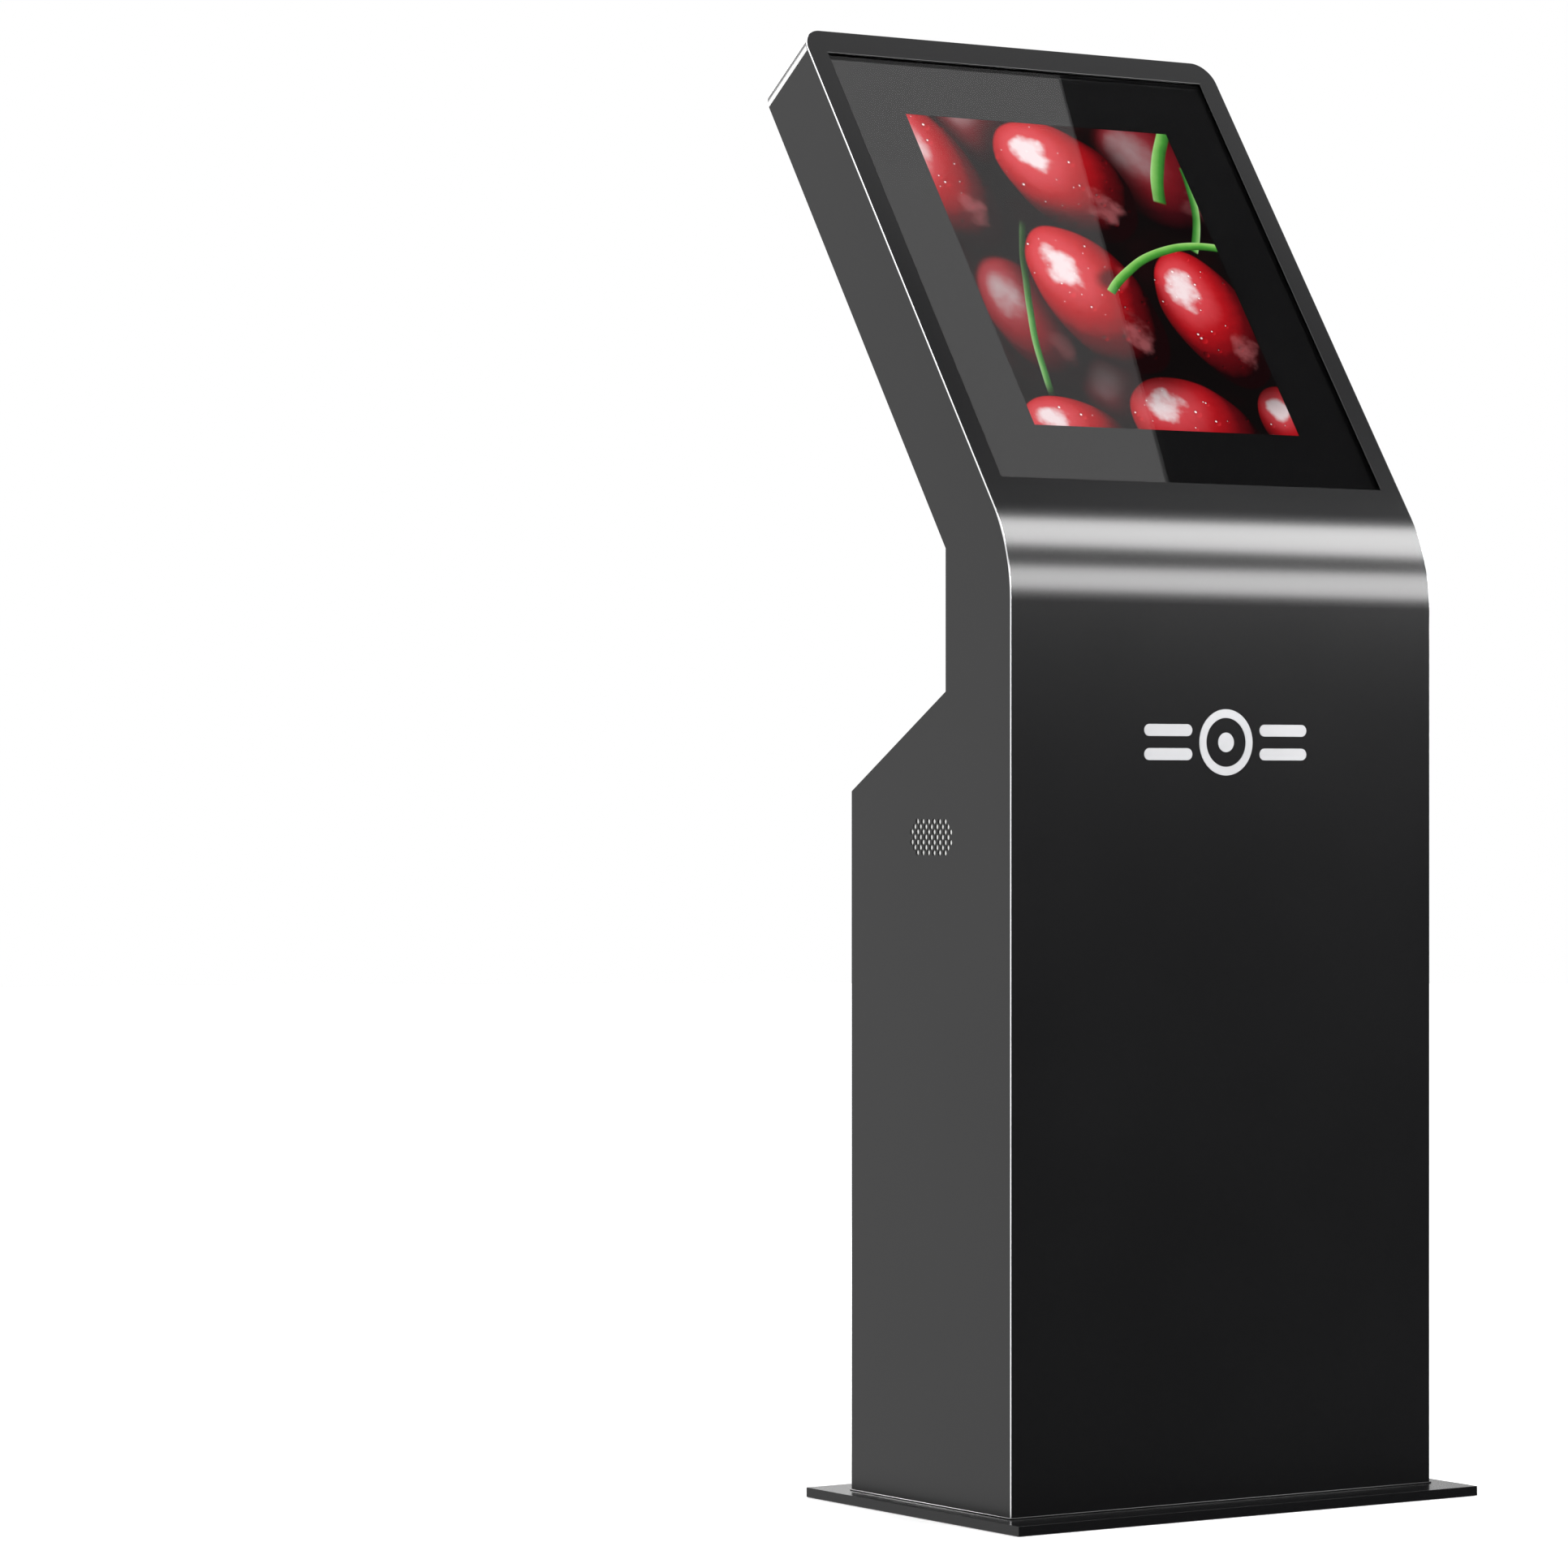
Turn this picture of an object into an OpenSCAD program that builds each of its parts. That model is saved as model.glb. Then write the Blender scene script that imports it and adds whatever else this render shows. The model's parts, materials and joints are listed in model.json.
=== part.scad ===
// Floor-standing touchscreen kiosk: a folded sheet-steel cabinet on a base plate, with a screen
// head that leans back. The front faces -Y, +Z is up, and the origin lies under the middle of the
// base plate, on the floor.

/* [Cabinet] */
// Width across the two side panels
body_w = 480; // [400:1:600]
// Depth from the upright front to the rear door
body_d = 262; // [240:1:340]
// Height of the upright front, up to the start of the bend
front_h = 832.6; // [800:0.1:1000]
// Outer radius of the bend below the screen
bend_r = 156; // [120:1:190]
// How far the screen head leans back, in degrees
tilt = 35; // [28:1:42]
// Length of the straight face above the bend
head_l = 563.5; // [465:0.5:680]
// Thickness of the head, from its face to its rear cover
head_t = 85; // [70:1:102]
// Radius of the head's two top corners
corner_r = 25; // [15:1:40]
// Depth from the upright front to the back of the neck
neck_d = 105; // [85:1:130]
// Height where the back of the neck turns out towards the door
neck_z = 753; // [735:1:800]
// Height of the rear shoulder above the door
shoulder_z = 662; // [600:1:700]
// Thickness of the cabinet's sheet steel
sheet = 2; // [1.5:0.1:3]

/* [Base] */
// Thickness of the base plate
plate_t = 9; // [6:0.5:14]
// How far the base plate stands out past each side panel
plate_side = 22; // [10:1:60]
// How far the base plate stands out in front and behind
plate_end = 44; // [20:1:90]
// Radius of the floor anchor holes
anchor_r = 6; // [4:0.5:8]
// Distance between the anchor holes, side to side
anchor_x = 320; // [200:1:340]
// Distance between the anchor holes, front to back
anchor_y = 140; // [100:1:150]
// Radius of the cable hole in the base plate
cable_hole_r = 25; // [15:0.5:30]
// Radius of the bore through the rubber grommet
grommet_r = 19; // [8:0.5:22]
// How far behind the middle the cable hole lies
cable_hole_y = 50; // [30:1:60]
// Height of the angle frame bolted to the base plate
frame_h = 25; // [20:1:40]
// Radius of the bolts that hold the angle frame
base_bolt_r = 3; // [2.5:0.5:4]

/* [Screen] */
// Face left between the glass and each side of the head
side_margin = 21.4; // [15:0.1:40]
// Face left between the glass and the top of the head
top_margin = 27.2; // [20:0.1:50]
// Distance from the end of the bend to the lower edge of the glass
low_margin = 31; // [20:1:60]
// Width of the picture
picture_w = 305.5; // [200:0.5:320]
// Height of the picture
picture_h = 373.1; // [250:0.1:380]
// How far the glass reaches under the face sheet on each side
glass_lap = 8; // [5:0.5:9]
// Thickness of the glass
glass_t = 4; // [3:0.5:5]
// Thickness of the tape that holds the glass
tape_t = 0.5; // [0.3:0.1:1]
// Thickness of the printed border behind the glass
mask_t = 0.3; // [0.2:0.1:0.5]
// Rim of the display unit outside the picture
lcd_rim = 12; // [9:1:20]
// Thickness of the display unit
lcd_t = 20; // [12:1:22]

/* [Speakers] */
// Height of the speaker grilles
speaker_z = 620; // [560:1:640]
// How far behind the middle the grilles lie
speaker_y = -2; // [-20:1:20]
// Radius of each grille hole
grille_r = 2.75; // [1.5:0.05:3]
// Spacing of the grille holes along a row
grille_pitch = 9.07; // [7:0.01:11]
// Spacing of the rows
grille_row = 4.75; // [4:0.01:8]

/* [Rear] */
// Height of the top edge of the sill panel
sill_top = 150; // [140:1:170]
// Width of the flat rear frame on each side of the door
stile = 28; // [24:1:36]
// Depth of the door's folded edge
door_fold = 12; // [8:1:16]
// Gap around the door
door_gap = 1.5; // [1:0.1:3]
// Radius of the door hinge pins
hinge_pin_r = 1.6; // [1.5:0.1:2.5]
// Length of one hinge
hinge_l = 66; // [45:1:80]
// Width of a rail's leg
rail_w = 20; // [14:1:20]
// Height of the equipment shelf
shelf_z = 330; // [240:1:350]
// Width of the ventilation fan
fan_w = 80; // [60:1:92]

/* [Emblem] */
// Height of the emblem's centre
emblem_z = 707; // [400:1:760]
// Width of the emblem
emblem_w = 186; // [120:1:220]
// Height of the emblem
emblem_h = 61; // [30:1:70]
// Thickness of the emblem
emblem_t = 0.8; // [0.4:0.1:2]

/* [Hidden] */
$fn = 48;
fit = 0.3;              // clearance between pieces that are slid together
running = 0.05;         // radial clearance of a pin or shaft
seat = 0.02;            // slack where a piece bears on the back of the sloping face
cut = 1;                // how far a cutting shape runs past a face
bend_steps = 14;        // flat steps that make up the bend
corner_steps = 12;      // flat steps in a rounded corner
front_y = -body_d / 2;
rear_y = body_d / 2;
in_x = body_w / 2 - sheet;                 // inner face of a side panel
neck_back = front_y + neck_d;
fall = (shoulder_z - neck_z) / (rear_y - neck_back);
bend_c = [front_y + bend_r, front_h];
bend_end = bend_c + bend_r * [-cos(tilt), sin(tilt)];
corner_s = head_l - corner_r;              // where the top corners start
rail_t = 2;

// The glass and what lies behind it: depths below the head's face, and the window's place
window_w = body_w - 2 * side_margin;
window_h = head_l - top_margin - low_margin;
screen_s = low_margin + window_h / 2;      // middle of the window and of the picture
glass_z = sheet + tape_t;
mask_z = glass_z + glass_t;
lcd_gap = 1;                               // foam between the border and the display unit
lcd_z = mask_z + mask_t + lcd_gap;
lcd_back = lcd_z + lcd_t;
lcd_w = picture_w + 2 * lcd_rim;
lcd_h = picture_h + 2 * lcd_rim;
bar_w = 30;                                // crossbars behind the display unit
bar_d = 15;
bar_s = lcd_h / 2 - 45;
cover_s = max(neck_s(0), neck_s(sheet)) + fit;

// The rear: the flat frame, the door in it and its hinges
rail_z0 = plate_t + frame_h + fit;
rear_frame_z0 = sill_top + fit;
rear_frame_z1 = shoulder_z - 16;
opening_x = in_x - stile;
opening_z0 = rear_frame_z0 + 22;
opening_z1 = rear_frame_z1 - 22;
stop_w = 12;                               // lip that the door closes against
stop_t = 2;
seal_t = 2.7;
stop_y = rear_y - door_fold - seal_t - fit - stop_t;
door_x = opening_x - door_gap;
door_z0 = opening_z0 + door_gap;
door_z1 = opening_z1 - door_gap;
door_mid = (door_z0 + door_z1) / 2;
leaf_t = 1.5;
knuckle_r = hinge_pin_r + 1.7;
hinge_x = -(opening_x - door_gap / 2);
hinge_y = rear_y + knuckle_r + 0.4;
hinge_zs = [door_z0 + 60, door_z1 - 60];
leaf_w = 20;
lock_x = door_x - 24;
lock_bore_r = 6;
lock_body_r = 9;
cam_l = 22;

// What is fitted to the sill panel, from side to side
device_z = (plate_t + frame_h + sill_top) / 2;
fan_x = -120;
fan_t = 25;
fan_hub_r = 16;
fan_shaft_r = 1.5;
button_x = -20;
button_r = 7;
inlet_x = 80;
inlet_w = 30;
inlet_h = 62;
inlet_d = 26;
socket_w = 24;
socket_h = 16.5;
socket_d = 17;
switch_x = 150;
rocker_w = 13;
rocker_r = 12.5;
rocker_tilt = 9;
rocker_pin_r = 1.5;

// Inside the cabinet
computer_w = 210;
computer_d = 150;
computer_h = 46;
computer_y = -8;
foot_h = 5;

// ---- outlines ----

// Points along an arc about c, from angle a0 to a1
function arc(c, r, a0, a1, n) =
    [for (i = [0:n]) c + r * [cos(a0 + (a1 - a0) * i / n), sin(a0 + (a1 - a0) * i / n)]];
function reversed(v) = [for (i = [len(v) - 1:-1:0]) v[i]];
// A slot with round ends, l long and w wide
function slot(l, w) =
    concat(arc([(l - w) / 2, 0], w / 2, -90, 90, 8), arc([(w - l) / 2, 0], w / 2, 90, 270, 8));
// The side view's [Y, Z] at s along the head's face and n below it
function on_head(s, n) =
    bend_end + s * [sin(tilt), cos(tilt)] + n * [cos(tilt), -sin(tilt)];
// The front of the side view, d inside the outer face, from the floor up to s on the head
function front_line(d, s) = concat(
    [[front_y + d, plate_t]], arc(bend_c, bend_r - d, 180, 180 - tilt, bend_steps),
    [on_head(s, d)]);
// The sloping shoulder's height at y, d inside it
function shoulder(y, d) = neck_z + (y - neck_back) * fall - d * sqrt(1 + fall * fall);
// How far up the head its back meets the neck, d inside both
function neck_s(d) = (neck_back - d - bend_end[0] - (head_t - d) * cos(tilt)) / sin(tilt);
// The back of the side view, d inside the outer face, from the head down to z
function rear_line(d, z) = [
    on_head(neck_s(d), head_t - d), [neck_back - d, shoulder(neck_back - d, d)],
    [rear_y - d, shoulder(rear_y - d, d)], [rear_y - d, z]];
// The head's outline seen square to its face, d inside its edge, from s upwards
function head_outline(d, s) = concat(
    [[d - body_w / 2, s]], arc([corner_r - body_w / 2, corner_s], corner_r - d, 180, 90, corner_steps),
    arc([body_w / 2 - corner_r, corner_s], corner_r - d, 90, 0, corner_steps), [[body_w / 2 - d, s]]);

// What lies outside a rounded corner; the arc's two ends run on past the edges that they meet
function outside_corner(p) = let (
    n = len(p) - 1, a = 1.3 * p[0] - 0.3 * p[1], b = 1.3 * p[n] - 0.3 * p[n - 1], far = corner_r + 2 * cut)
    concat([a], [for (i = [1:n - 1]) p[i]], [b, [b[0], far], [far, far], [far, a[1]]]);

// ---- placing ----

// Turns a side view drawn as [Y, Z] upright and makes it w wide about the middle
module across(w) rotate([90, 0, 90]) translate([0, 0, -w / 2]) linear_extrude(w) children();
// The head's own frame: X across, Y up the face from the bend, Z out of the face
module head() translate([0, bend_end[0], bend_end[1]]) rotate([90 - tilt, 0, 0]) children();
// A cylinder along Y from y0 to y1
module along_y(r, y0, y1) translate([0, y0, 0]) rotate([-90, 0, 0]) cylinder(r = r, h = y1 - y0);
// A block from corner a to corner b
module block(a, b) translate(a) cube(b - a);
// A flat ring with square corners, drawn about the middle
module ring(outer, inner) difference() { square(outer, center = true); square(inner, center = true); }
module both_sides() { children(); mirror([1, 0, 0]) children(); }
// A round-headed screw with a six-sided socket, its shank going down from z = 0
module screw(r, l) difference() {
    union() {
        cylinder(r = 1.9 * r, h = 1.1 * r);
        translate([0, 0, -l]) cylinder(r = r, h = l);
    }
    translate([0, 0, 0.4 * r]) cylinder(r = 0.85 * r, h = r, $fn = 6);
}

// ---- base ----

base_bolt_x = in_x - frame_h / 2;
base_bolt_y = rear_y - sheet - frame_h / 2;
// Places of the bolts: three along each side and two more at the front and the back
base_bolt_places = concat(
    [for (x = [-1, 1], y = [-1, 0, 1]) [x * base_bolt_x, y * base_bolt_y * 0.7]],
    [for (x = [-1, 1], y = [-1, 1]) [x * base_bolt_x * 0.45, y * base_bolt_y]]);
module base_plate() color("#17181a") difference() {
    block([-body_w / 2 - plate_side, front_y - plate_end, 0],
          [body_w / 2 + plate_side, rear_y + plate_end, plate_t]);
    for (x = [-1, 1], y = [-1, 1])
        translate([x * anchor_x / 2, y * anchor_y / 2, -cut]) cylinder(r = anchor_r, h = plate_t + 2 * cut);
    translate([0, cable_hole_y, -cut]) cylinder(r = cable_hole_r, h = plate_t + 2 * cut);
    for (p = base_bolt_places)
        translate([p[0], p[1], 2]) cylinder(r = base_bolt_r + running, h = plate_t);
}
module base_frame() color("#3a3c3f") difference() {
    block([-in_x, front_y + sheet, plate_t], [in_x, rear_y - sheet, plate_t + frame_h]);
    block([-in_x + 3, front_y + sheet + 3, plate_t + 3],
          [in_x - 3, rear_y - sheet - 3, plate_t + frame_h + cut]);
    block([-in_x + frame_h, front_y + sheet + frame_h, plate_t - cut],
          [in_x - frame_h, rear_y - sheet - frame_h, plate_t + 3 + cut]);
    for (p = base_bolt_places)
        translate([p[0], p[1], plate_t - cut]) cylinder(r = base_bolt_r + fit, h = 3 + 2 * cut);
}
module base_bolts() color("#9a9da1") for (p = base_bolt_places) translate([p[0], p[1], plate_t + 3]) {
    cylinder(r = 1.9 * base_bolt_r, h = 1.3 * base_bolt_r, $fn = 6);
    translate([0, 0, -9]) cylinder(r = base_bolt_r, h = 9);
}
module cable_grommet() color("#101112") translate([0, cable_hole_y, 0]) difference() {
    union() {
        translate([0, 0, 1]) cylinder(r = cable_hole_r - fit, h = plate_t - 1);
        translate([0, 0, plate_t]) cylinder(r = cable_hole_r + 5, h = 3);
    }
    cylinder(r = grommet_r, h = plate_t + 3 + cut);
}

// ---- cabinet shell ----

grille_rows = [6, 7, 8, 7, 8, 7, 6];
module grille_holes(x0, x1) for (i = [0:len(grille_rows) - 1], j = [0:grille_rows[i] - 1])
    translate([x0, speaker_y + (j - (grille_rows[i] - 1) / 2) * grille_pitch,
               speaker_z + (i - (len(grille_rows) - 1) / 2) * grille_row])
        rotate([0, 90, 0]) cylinder(r = grille_r, h = x1 - x0, $fn = 24);
module side_panel() difference() {
    translate([body_w / 2 - sheet / 2, 0, 0]) across(sheet) polygon(concat(
        front_line(sheet, corner_s), [on_head(corner_s, head_t)], rear_line(0, plate_t)));
    grille_holes(in_x - cut, body_w / 2 + cut);
}
module right_side_panel() color("#4a4b4d") side_panel();
module left_side_panel() color("#4a4b4d") mirror([1, 0, 0]) side_panel();
module front_panel() color("#2b2c2e") difference() {
    across(body_w) polygon(concat(front_line(0, head_l), reversed(front_line(sheet, head_l))));
    head() {
        translate([-window_w / 2, low_margin, -sheet - cut]) cube([window_w, window_h, sheet + 2 * cut]);
        both_sides() translate([body_w / 2 - corner_r, corner_s, -sheet - cut])
            linear_extrude(sheet + 2 * cut)
                polygon(outside_corner(arc([0, 0], corner_r, 0, 90, corner_steps)));
    }
}
module front_rail() difference() {
    block([in_x - rail_w, front_y + sheet, rail_z0], [in_x, front_y + sheet + rail_w, front_h]);
    block([in_x - rail_w - cut, front_y + sheet + rail_t, rail_z0 - cut],
          [in_x - rail_t, front_y + sheet + rail_w + cut, front_h + cut]);
}
module right_front_rail() color("#55585c") front_rail();
module left_front_rail() color("#55585c") mirror([1, 0, 0]) front_rail();
module head_top_cap() color("#4a4b4d") head() translate([0, 0, -head_t]) linear_extrude(head_t - sheet - seat)
    difference() {
        polygon(concat(arc([corner_r - body_w / 2, corner_s], corner_r, 180, 90, corner_steps),
                       arc([body_w / 2 - corner_r, corner_s], corner_r, 90, 0, corner_steps)));
        polygon(concat(
            [[sheet - body_w / 2, corner_s - cut]],
            arc([corner_r - body_w / 2, corner_s], corner_r - sheet, 180, 90, corner_steps),
            arc([body_w / 2 - corner_r, corner_s], corner_r - sheet, 90, 0, corner_steps),
            [[body_w / 2 - sheet, corner_s - cut]]));
    }

// ---- back of the head and the neck ----

cover_screw_x = in_x - rail_w / 2;
cover_screw_s = [cover_s + 30, (cover_s + corner_s) / 2, corner_s - 20];
module head_rail() head() difference() {
    block([in_x - rail_w, cover_s + 4, sheet - head_t], [in_x, corner_s - 4, sheet - head_t + rail_w]);
    block([in_x - rail_w - cut, cover_s, sheet - head_t + rail_t],
          [in_x - rail_t, corner_s, sheet - head_t + rail_w + cut]);
    for (s = cover_screw_s)
        translate([cover_screw_x, s, sheet - head_t - cut]) cylinder(r = 2 + fit, h = rail_t + 2 * cut);
}
module right_head_rail() color("#55585c") head_rail();
module left_head_rail() color("#55585c") mirror([1, 0, 0]) head_rail();
vent_l = 60;
vent_rows = 9;
module head_rear_cover() color("#3b3c3e") head() translate([0, 0, -head_t])
    linear_extrude(sheet) difference() {
        polygon(head_outline(sheet + fit, cover_s));
        for (x = [-1, 1], s = cover_screw_s) translate([x * cover_screw_x, s]) circle(r = 2 + fit);
        for (x = [-1, 1], i = [0:vent_rows - 1])
            translate([x * 70, corner_s - 60 - 10 * i]) polygon(slot(vent_l, 4));
    }
module head_cover_screws() color("#8c8f93") head() for (x = [-1, 1], s = cover_screw_s)
    translate([x * cover_screw_x, s, -head_t]) rotate([180, 0, 0]) screw(2, 8);
module neck_panel() color("#3b3c3e") across(2 * (in_x - fit))
    polygon(concat(rear_line(0, rear_frame_z1 + fit), reversed(rear_line(sheet, rear_frame_z1 + fit))));

// ---- rear frame and sill ----

rear_screw_x = in_x - rail_w / 2;
rear_screw_z = [rail_z0 + 25, sill_top - 15, rear_frame_z0 + 40, rear_frame_z1 - 40];
module rear_rail() difference() {
    block([in_x - rail_w, rear_y - sheet - rail_w, rail_z0], [in_x, rear_y - sheet, rear_frame_z1 - 4]);
    block([in_x - rail_w - cut, rear_y - sheet - rail_w - cut, rail_z0 - cut],
          [in_x - rail_t, rear_y - sheet - rail_t, rear_frame_z1]);
    for (z = rear_screw_z)
        translate([rear_screw_x, 0, z]) along_y(2 + fit, rear_y - sheet - rail_t - cut, rear_y);
}
module right_rear_rail() color("#55585c") rear_rail();
module left_rear_rail() color("#55585c") mirror([1, 0, 0]) rear_rail();
module rear_frame() color("#3b3c3e") difference() {
    union() {
        block([-in_x + fit, rear_y - sheet, rear_frame_z0], [in_x - fit, rear_y, rear_frame_z1]);
        block([-opening_x - sheet, stop_y, opening_z0 - sheet],
              [opening_x + sheet, rear_y - sheet, opening_z1 + sheet]);
    }
    block([-opening_x, stop_y + stop_t, opening_z0], [opening_x, rear_y + cut, opening_z1]);
    block([-opening_x + stop_w, stop_y - cut, opening_z0 + stop_w],
          [opening_x - stop_w, rear_y, opening_z1 - stop_w]);
    for (x = [-1, 1], z = rear_screw_z)
        translate([x * rear_screw_x, 0, z]) along_y(2 + fit, rear_y - sheet - cut, rear_y + cut);
}
module door_seal() color("#0e0e0f") translate([0, stop_y + stop_t + seal_t, (opening_z0 + opening_z1) / 2])
    rotate([90, 0, 0]) linear_extrude(seal_t)
        ring([2 * (opening_x - fit), opening_z1 - opening_z0 - 2 * fit],
             [2 * (opening_x - stop_w + 1), opening_z1 - opening_z0 - 2 * stop_w + 2]);
module rear_sill_panel() color("#3b3c3e") difference() {
    block([-in_x + fit, rear_y - sheet, plate_t], [in_x - fit, rear_y, sill_top]);
    for (x = [-1, 1], z = rear_screw_z)
        translate([x * rear_screw_x, 0, z]) along_y(2 + fit, rear_y - sheet - cut, rear_y + cut);
    translate([fan_x, 0, device_z]) along_y(fan_w / 2 - 2, rear_y - sheet - cut, rear_y + cut);
    translate([button_x, 0, device_z]) along_y(button_r + 1.2, rear_y - sheet - cut, rear_y + cut);
    block([inlet_x - inlet_w / 2 - fit, rear_y - sheet - cut, device_z - inlet_h / 2 - fit],
          [inlet_x + inlet_w / 2 + fit, rear_y + cut, device_z + inlet_h / 2 + fit]);
    block([switch_x - rocker_w / 2 - 2 - fit, rear_y - sheet - cut, device_z - rocker_r - 2 - fit],
          [switch_x + rocker_w / 2 + 2 + fit, rear_y + cut, device_z + rocker_r + 2 + fit]);
}
module rear_screws() color("#8c8f93") for (x = [-1, 1], z = rear_screw_z)
    translate([x * rear_screw_x, rear_y, z]) rotate([-90, 0, 0]) screw(2, 8);

// ---- door ----

door_vent_l = 90;
door_vent_rows = 7;
module rear_door() color("#3b3c3e") difference() {
    block([-door_x, rear_y - door_fold, door_z0], [door_x, rear_y, door_z1]);
    block([-door_x + sheet, rear_y - door_fold - cut, door_z0 + sheet],
          [door_x - sheet, rear_y - sheet, door_z1 - sheet]);
    translate([lock_x, 0, door_mid]) along_y(lock_body_r + 0.2, rear_y - sheet - cut, rear_y + cut);
    for (x = [-1, 1], i = [0:door_vent_rows - 1], z = [door_z0 + 50 + 11 * i, door_z1 - 50 - 11 * i])
        translate([x * 80, rear_y + cut, z]) rotate([90, 0, 0]) linear_extrude(sheet + 2 * cut)
            polygon(slot(door_vent_l, 5));
}
// One leaf with its knuckles; zs lists where each knuckle starts and ends
module leaf(side, zs) difference() {
    union() {
        block([side > 0 ? 0.6 : -leaf_w, rear_y, -hinge_l / 2],
              [side > 0 ? leaf_w : -0.6, rear_y + leaf_t, hinge_l / 2]);
        for (z = zs) {
            translate([0, hinge_y, z[0]]) cylinder(r = knuckle_r, h = z[1] - z[0]);
            block([side > 0 ? 0 : -knuckle_r, rear_y + 0.4, z[0]],
                  [side > 0 ? knuckle_r : 0, hinge_y, z[1]]);
        }
    }
    translate([0, hinge_y, -hinge_l]) cylinder(r = hinge_pin_r + running, h = 2 * hinge_l);
    // room for the other leaf's knuckles
    for (i = [0:2]) if ((side > 0) != (i == 1))
        translate([0, hinge_y, -hinge_l / 2 + i * hinge_l / 3 - fit])
            cylinder(r = knuckle_r + fit, h = hinge_l / 3 + 2 * fit);
    for (z = [-1, 0, 1]) translate([side * (leaf_w + knuckle_r) / 2, 0, z * hinge_l / 3])
        along_y(1.6, rear_y - cut, rear_y + leaf_t + cut);
}
third = hinge_l / 3;
module frame_hinge_leaves() color("#77797c") for (z = hinge_zs) translate([hinge_x, 0, z])
    leaf(-1, [[-hinge_l / 2, -third / 2 - fit / 2], [third / 2 + fit / 2, hinge_l / 2]]);
module door_hinge_leaves() color("#77797c") for (z = hinge_zs) translate([hinge_x, 0, z])
    leaf(1, [[-third / 2 + fit / 2, third / 2 - fit / 2]]);
module hinge_pins() color("#a9abad") for (z = hinge_zs) translate([hinge_x, hinge_y, z]) {
    translate([0, 0, -hinge_l / 2 - 1]) cylinder(r = hinge_pin_r, h = hinge_l + 1);
    translate([0, 0, hinge_l / 2]) cylinder(r = knuckle_r - 0.6, h = 1.5);
}
lock_end = stop_y - 1.2;
module lock_housing() color("#b9bbbd") translate([lock_x, 0, door_mid]) difference() {
    union() {
        along_y(lock_body_r + 3, rear_y, rear_y + 2.5);
        along_y(lock_body_r, lock_end, rear_y);
        // the nut that clamps the housing to the door
        difference() {
            translate([0, rear_y - sheet, 0]) rotate([90, 0, 0])
                cylinder(r = lock_body_r + 4, h = 4, $fn = 6);
            along_y(lock_body_r, rear_y - sheet - 5, rear_y);
        }
    }
    along_y(lock_bore_r + running, lock_end - cut, rear_y + 3);
}
module lock_barrel() color("#cfd1d3") translate([lock_x, 0, door_mid]) difference() {
    union() {
        along_y(lock_bore_r, lock_end, rear_y + 2);
        block([-3.5, lock_end - 4, -3.5], [3.5, lock_end, 3.5]);
    }
    // keyway
    block([-0.7, rear_y - 10, -4], [0.7, rear_y + 3, 4]);
}
module lock_cam() color("#8c8f93") translate([lock_x, 0, door_mid]) {
    difference() {
        union() {
            along_y(lock_bore_r + 1, lock_end - 2.2, lock_end - 0.2);
            block([-lock_bore_r, lock_end - 2.2, -cam_l], [lock_bore_r, lock_end - 0.2, 0]);
        }
        block([-3.5, lock_end - 5, -3.5], [3.5, lock_end, 3.5]);
    }
    difference() {
        translate([0, lock_end - 2.2, 0]) rotate([90, 0, 0]) cylinder(r = lock_bore_r, h = 1.8, $fn = 6);
        block([-3.5, lock_end - 5, -3.5], [3.5, lock_end, 3.5]);
    }
}

// ---- screen ----

// A flat ring or plate in the head's frame, from z0 to z1 below the face
module screen_layer(z0, z1) head() translate([0, screen_s, -z1]) linear_extrude(z1 - z0) children();
glass_size = [window_w + 2 * glass_lap, window_h + 2 * glass_lap];
picture = [picture_w, picture_h];
module glass_tape() color("#111213") screen_layer(sheet + seat, glass_z)
    ring(glass_size, [window_w + 3, window_h + 3]);
module touch_glass() color("#20242866") screen_layer(glass_z, mask_z) square(glass_size, center = true);
module glass_border() color("#0b0c0d") screen_layer(mask_z, mask_z + mask_t) ring(glass_size, picture);
clip_x = window_w / 2 + glass_lap;
clip_s = window_h / 3;
module glass_clips() color("#77797c") head() both_sides() for (s = [-1, 0, 1])
    translate([0, screen_s + s * clip_s, 0]) {
        block([clip_x + 0.6, -8, -mask_z - mask_t - 2], [in_x - fit, 8, -sheet - seat]);
        block([clip_x - 7, -8, -mask_z - mask_t - 2], [clip_x + 0.6, 8, -mask_z - mask_t]);
    }
module display_foam() color("#18191a") screen_layer(mask_z + mask_t, lcd_z)
    ring(picture + [18, 18], picture + [6, 6]);
pocket_d = 1.4;
module display_unit() color("#8f9296") difference() {
    screen_layer(lcd_z, lcd_back) square([lcd_w, lcd_h], center = true);
    screen_layer(lcd_z - cut, lcd_z + pocket_d) square(picture + [8, 8], center = true);
}
module display_face() color("#8a1f24") screen_layer(lcd_z + fit, lcd_z + pocket_d)
    square(picture + [7.4, 7.4], center = true);
module crossbar(s) head() translate([0, s, 0]) difference() {
    block([-in_x, -bar_w / 2, -lcd_back - bar_d], [in_x, bar_w / 2, -lcd_back]);
    block([-in_x - cut, -bar_w / 2 + 2, -lcd_back - bar_d - cut],
          [in_x + cut, bar_w / 2 - 2, -lcd_back - 2]);
}
module upper_crossbar() color("#6c6f73") crossbar(screen_s + bar_s);
module lower_crossbar() color("#6c6f73") crossbar(screen_s - bar_s);
board_w = 150;
board_h = 100;
board_z = lcd_back + 8;
board_t = 1.6;
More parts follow.
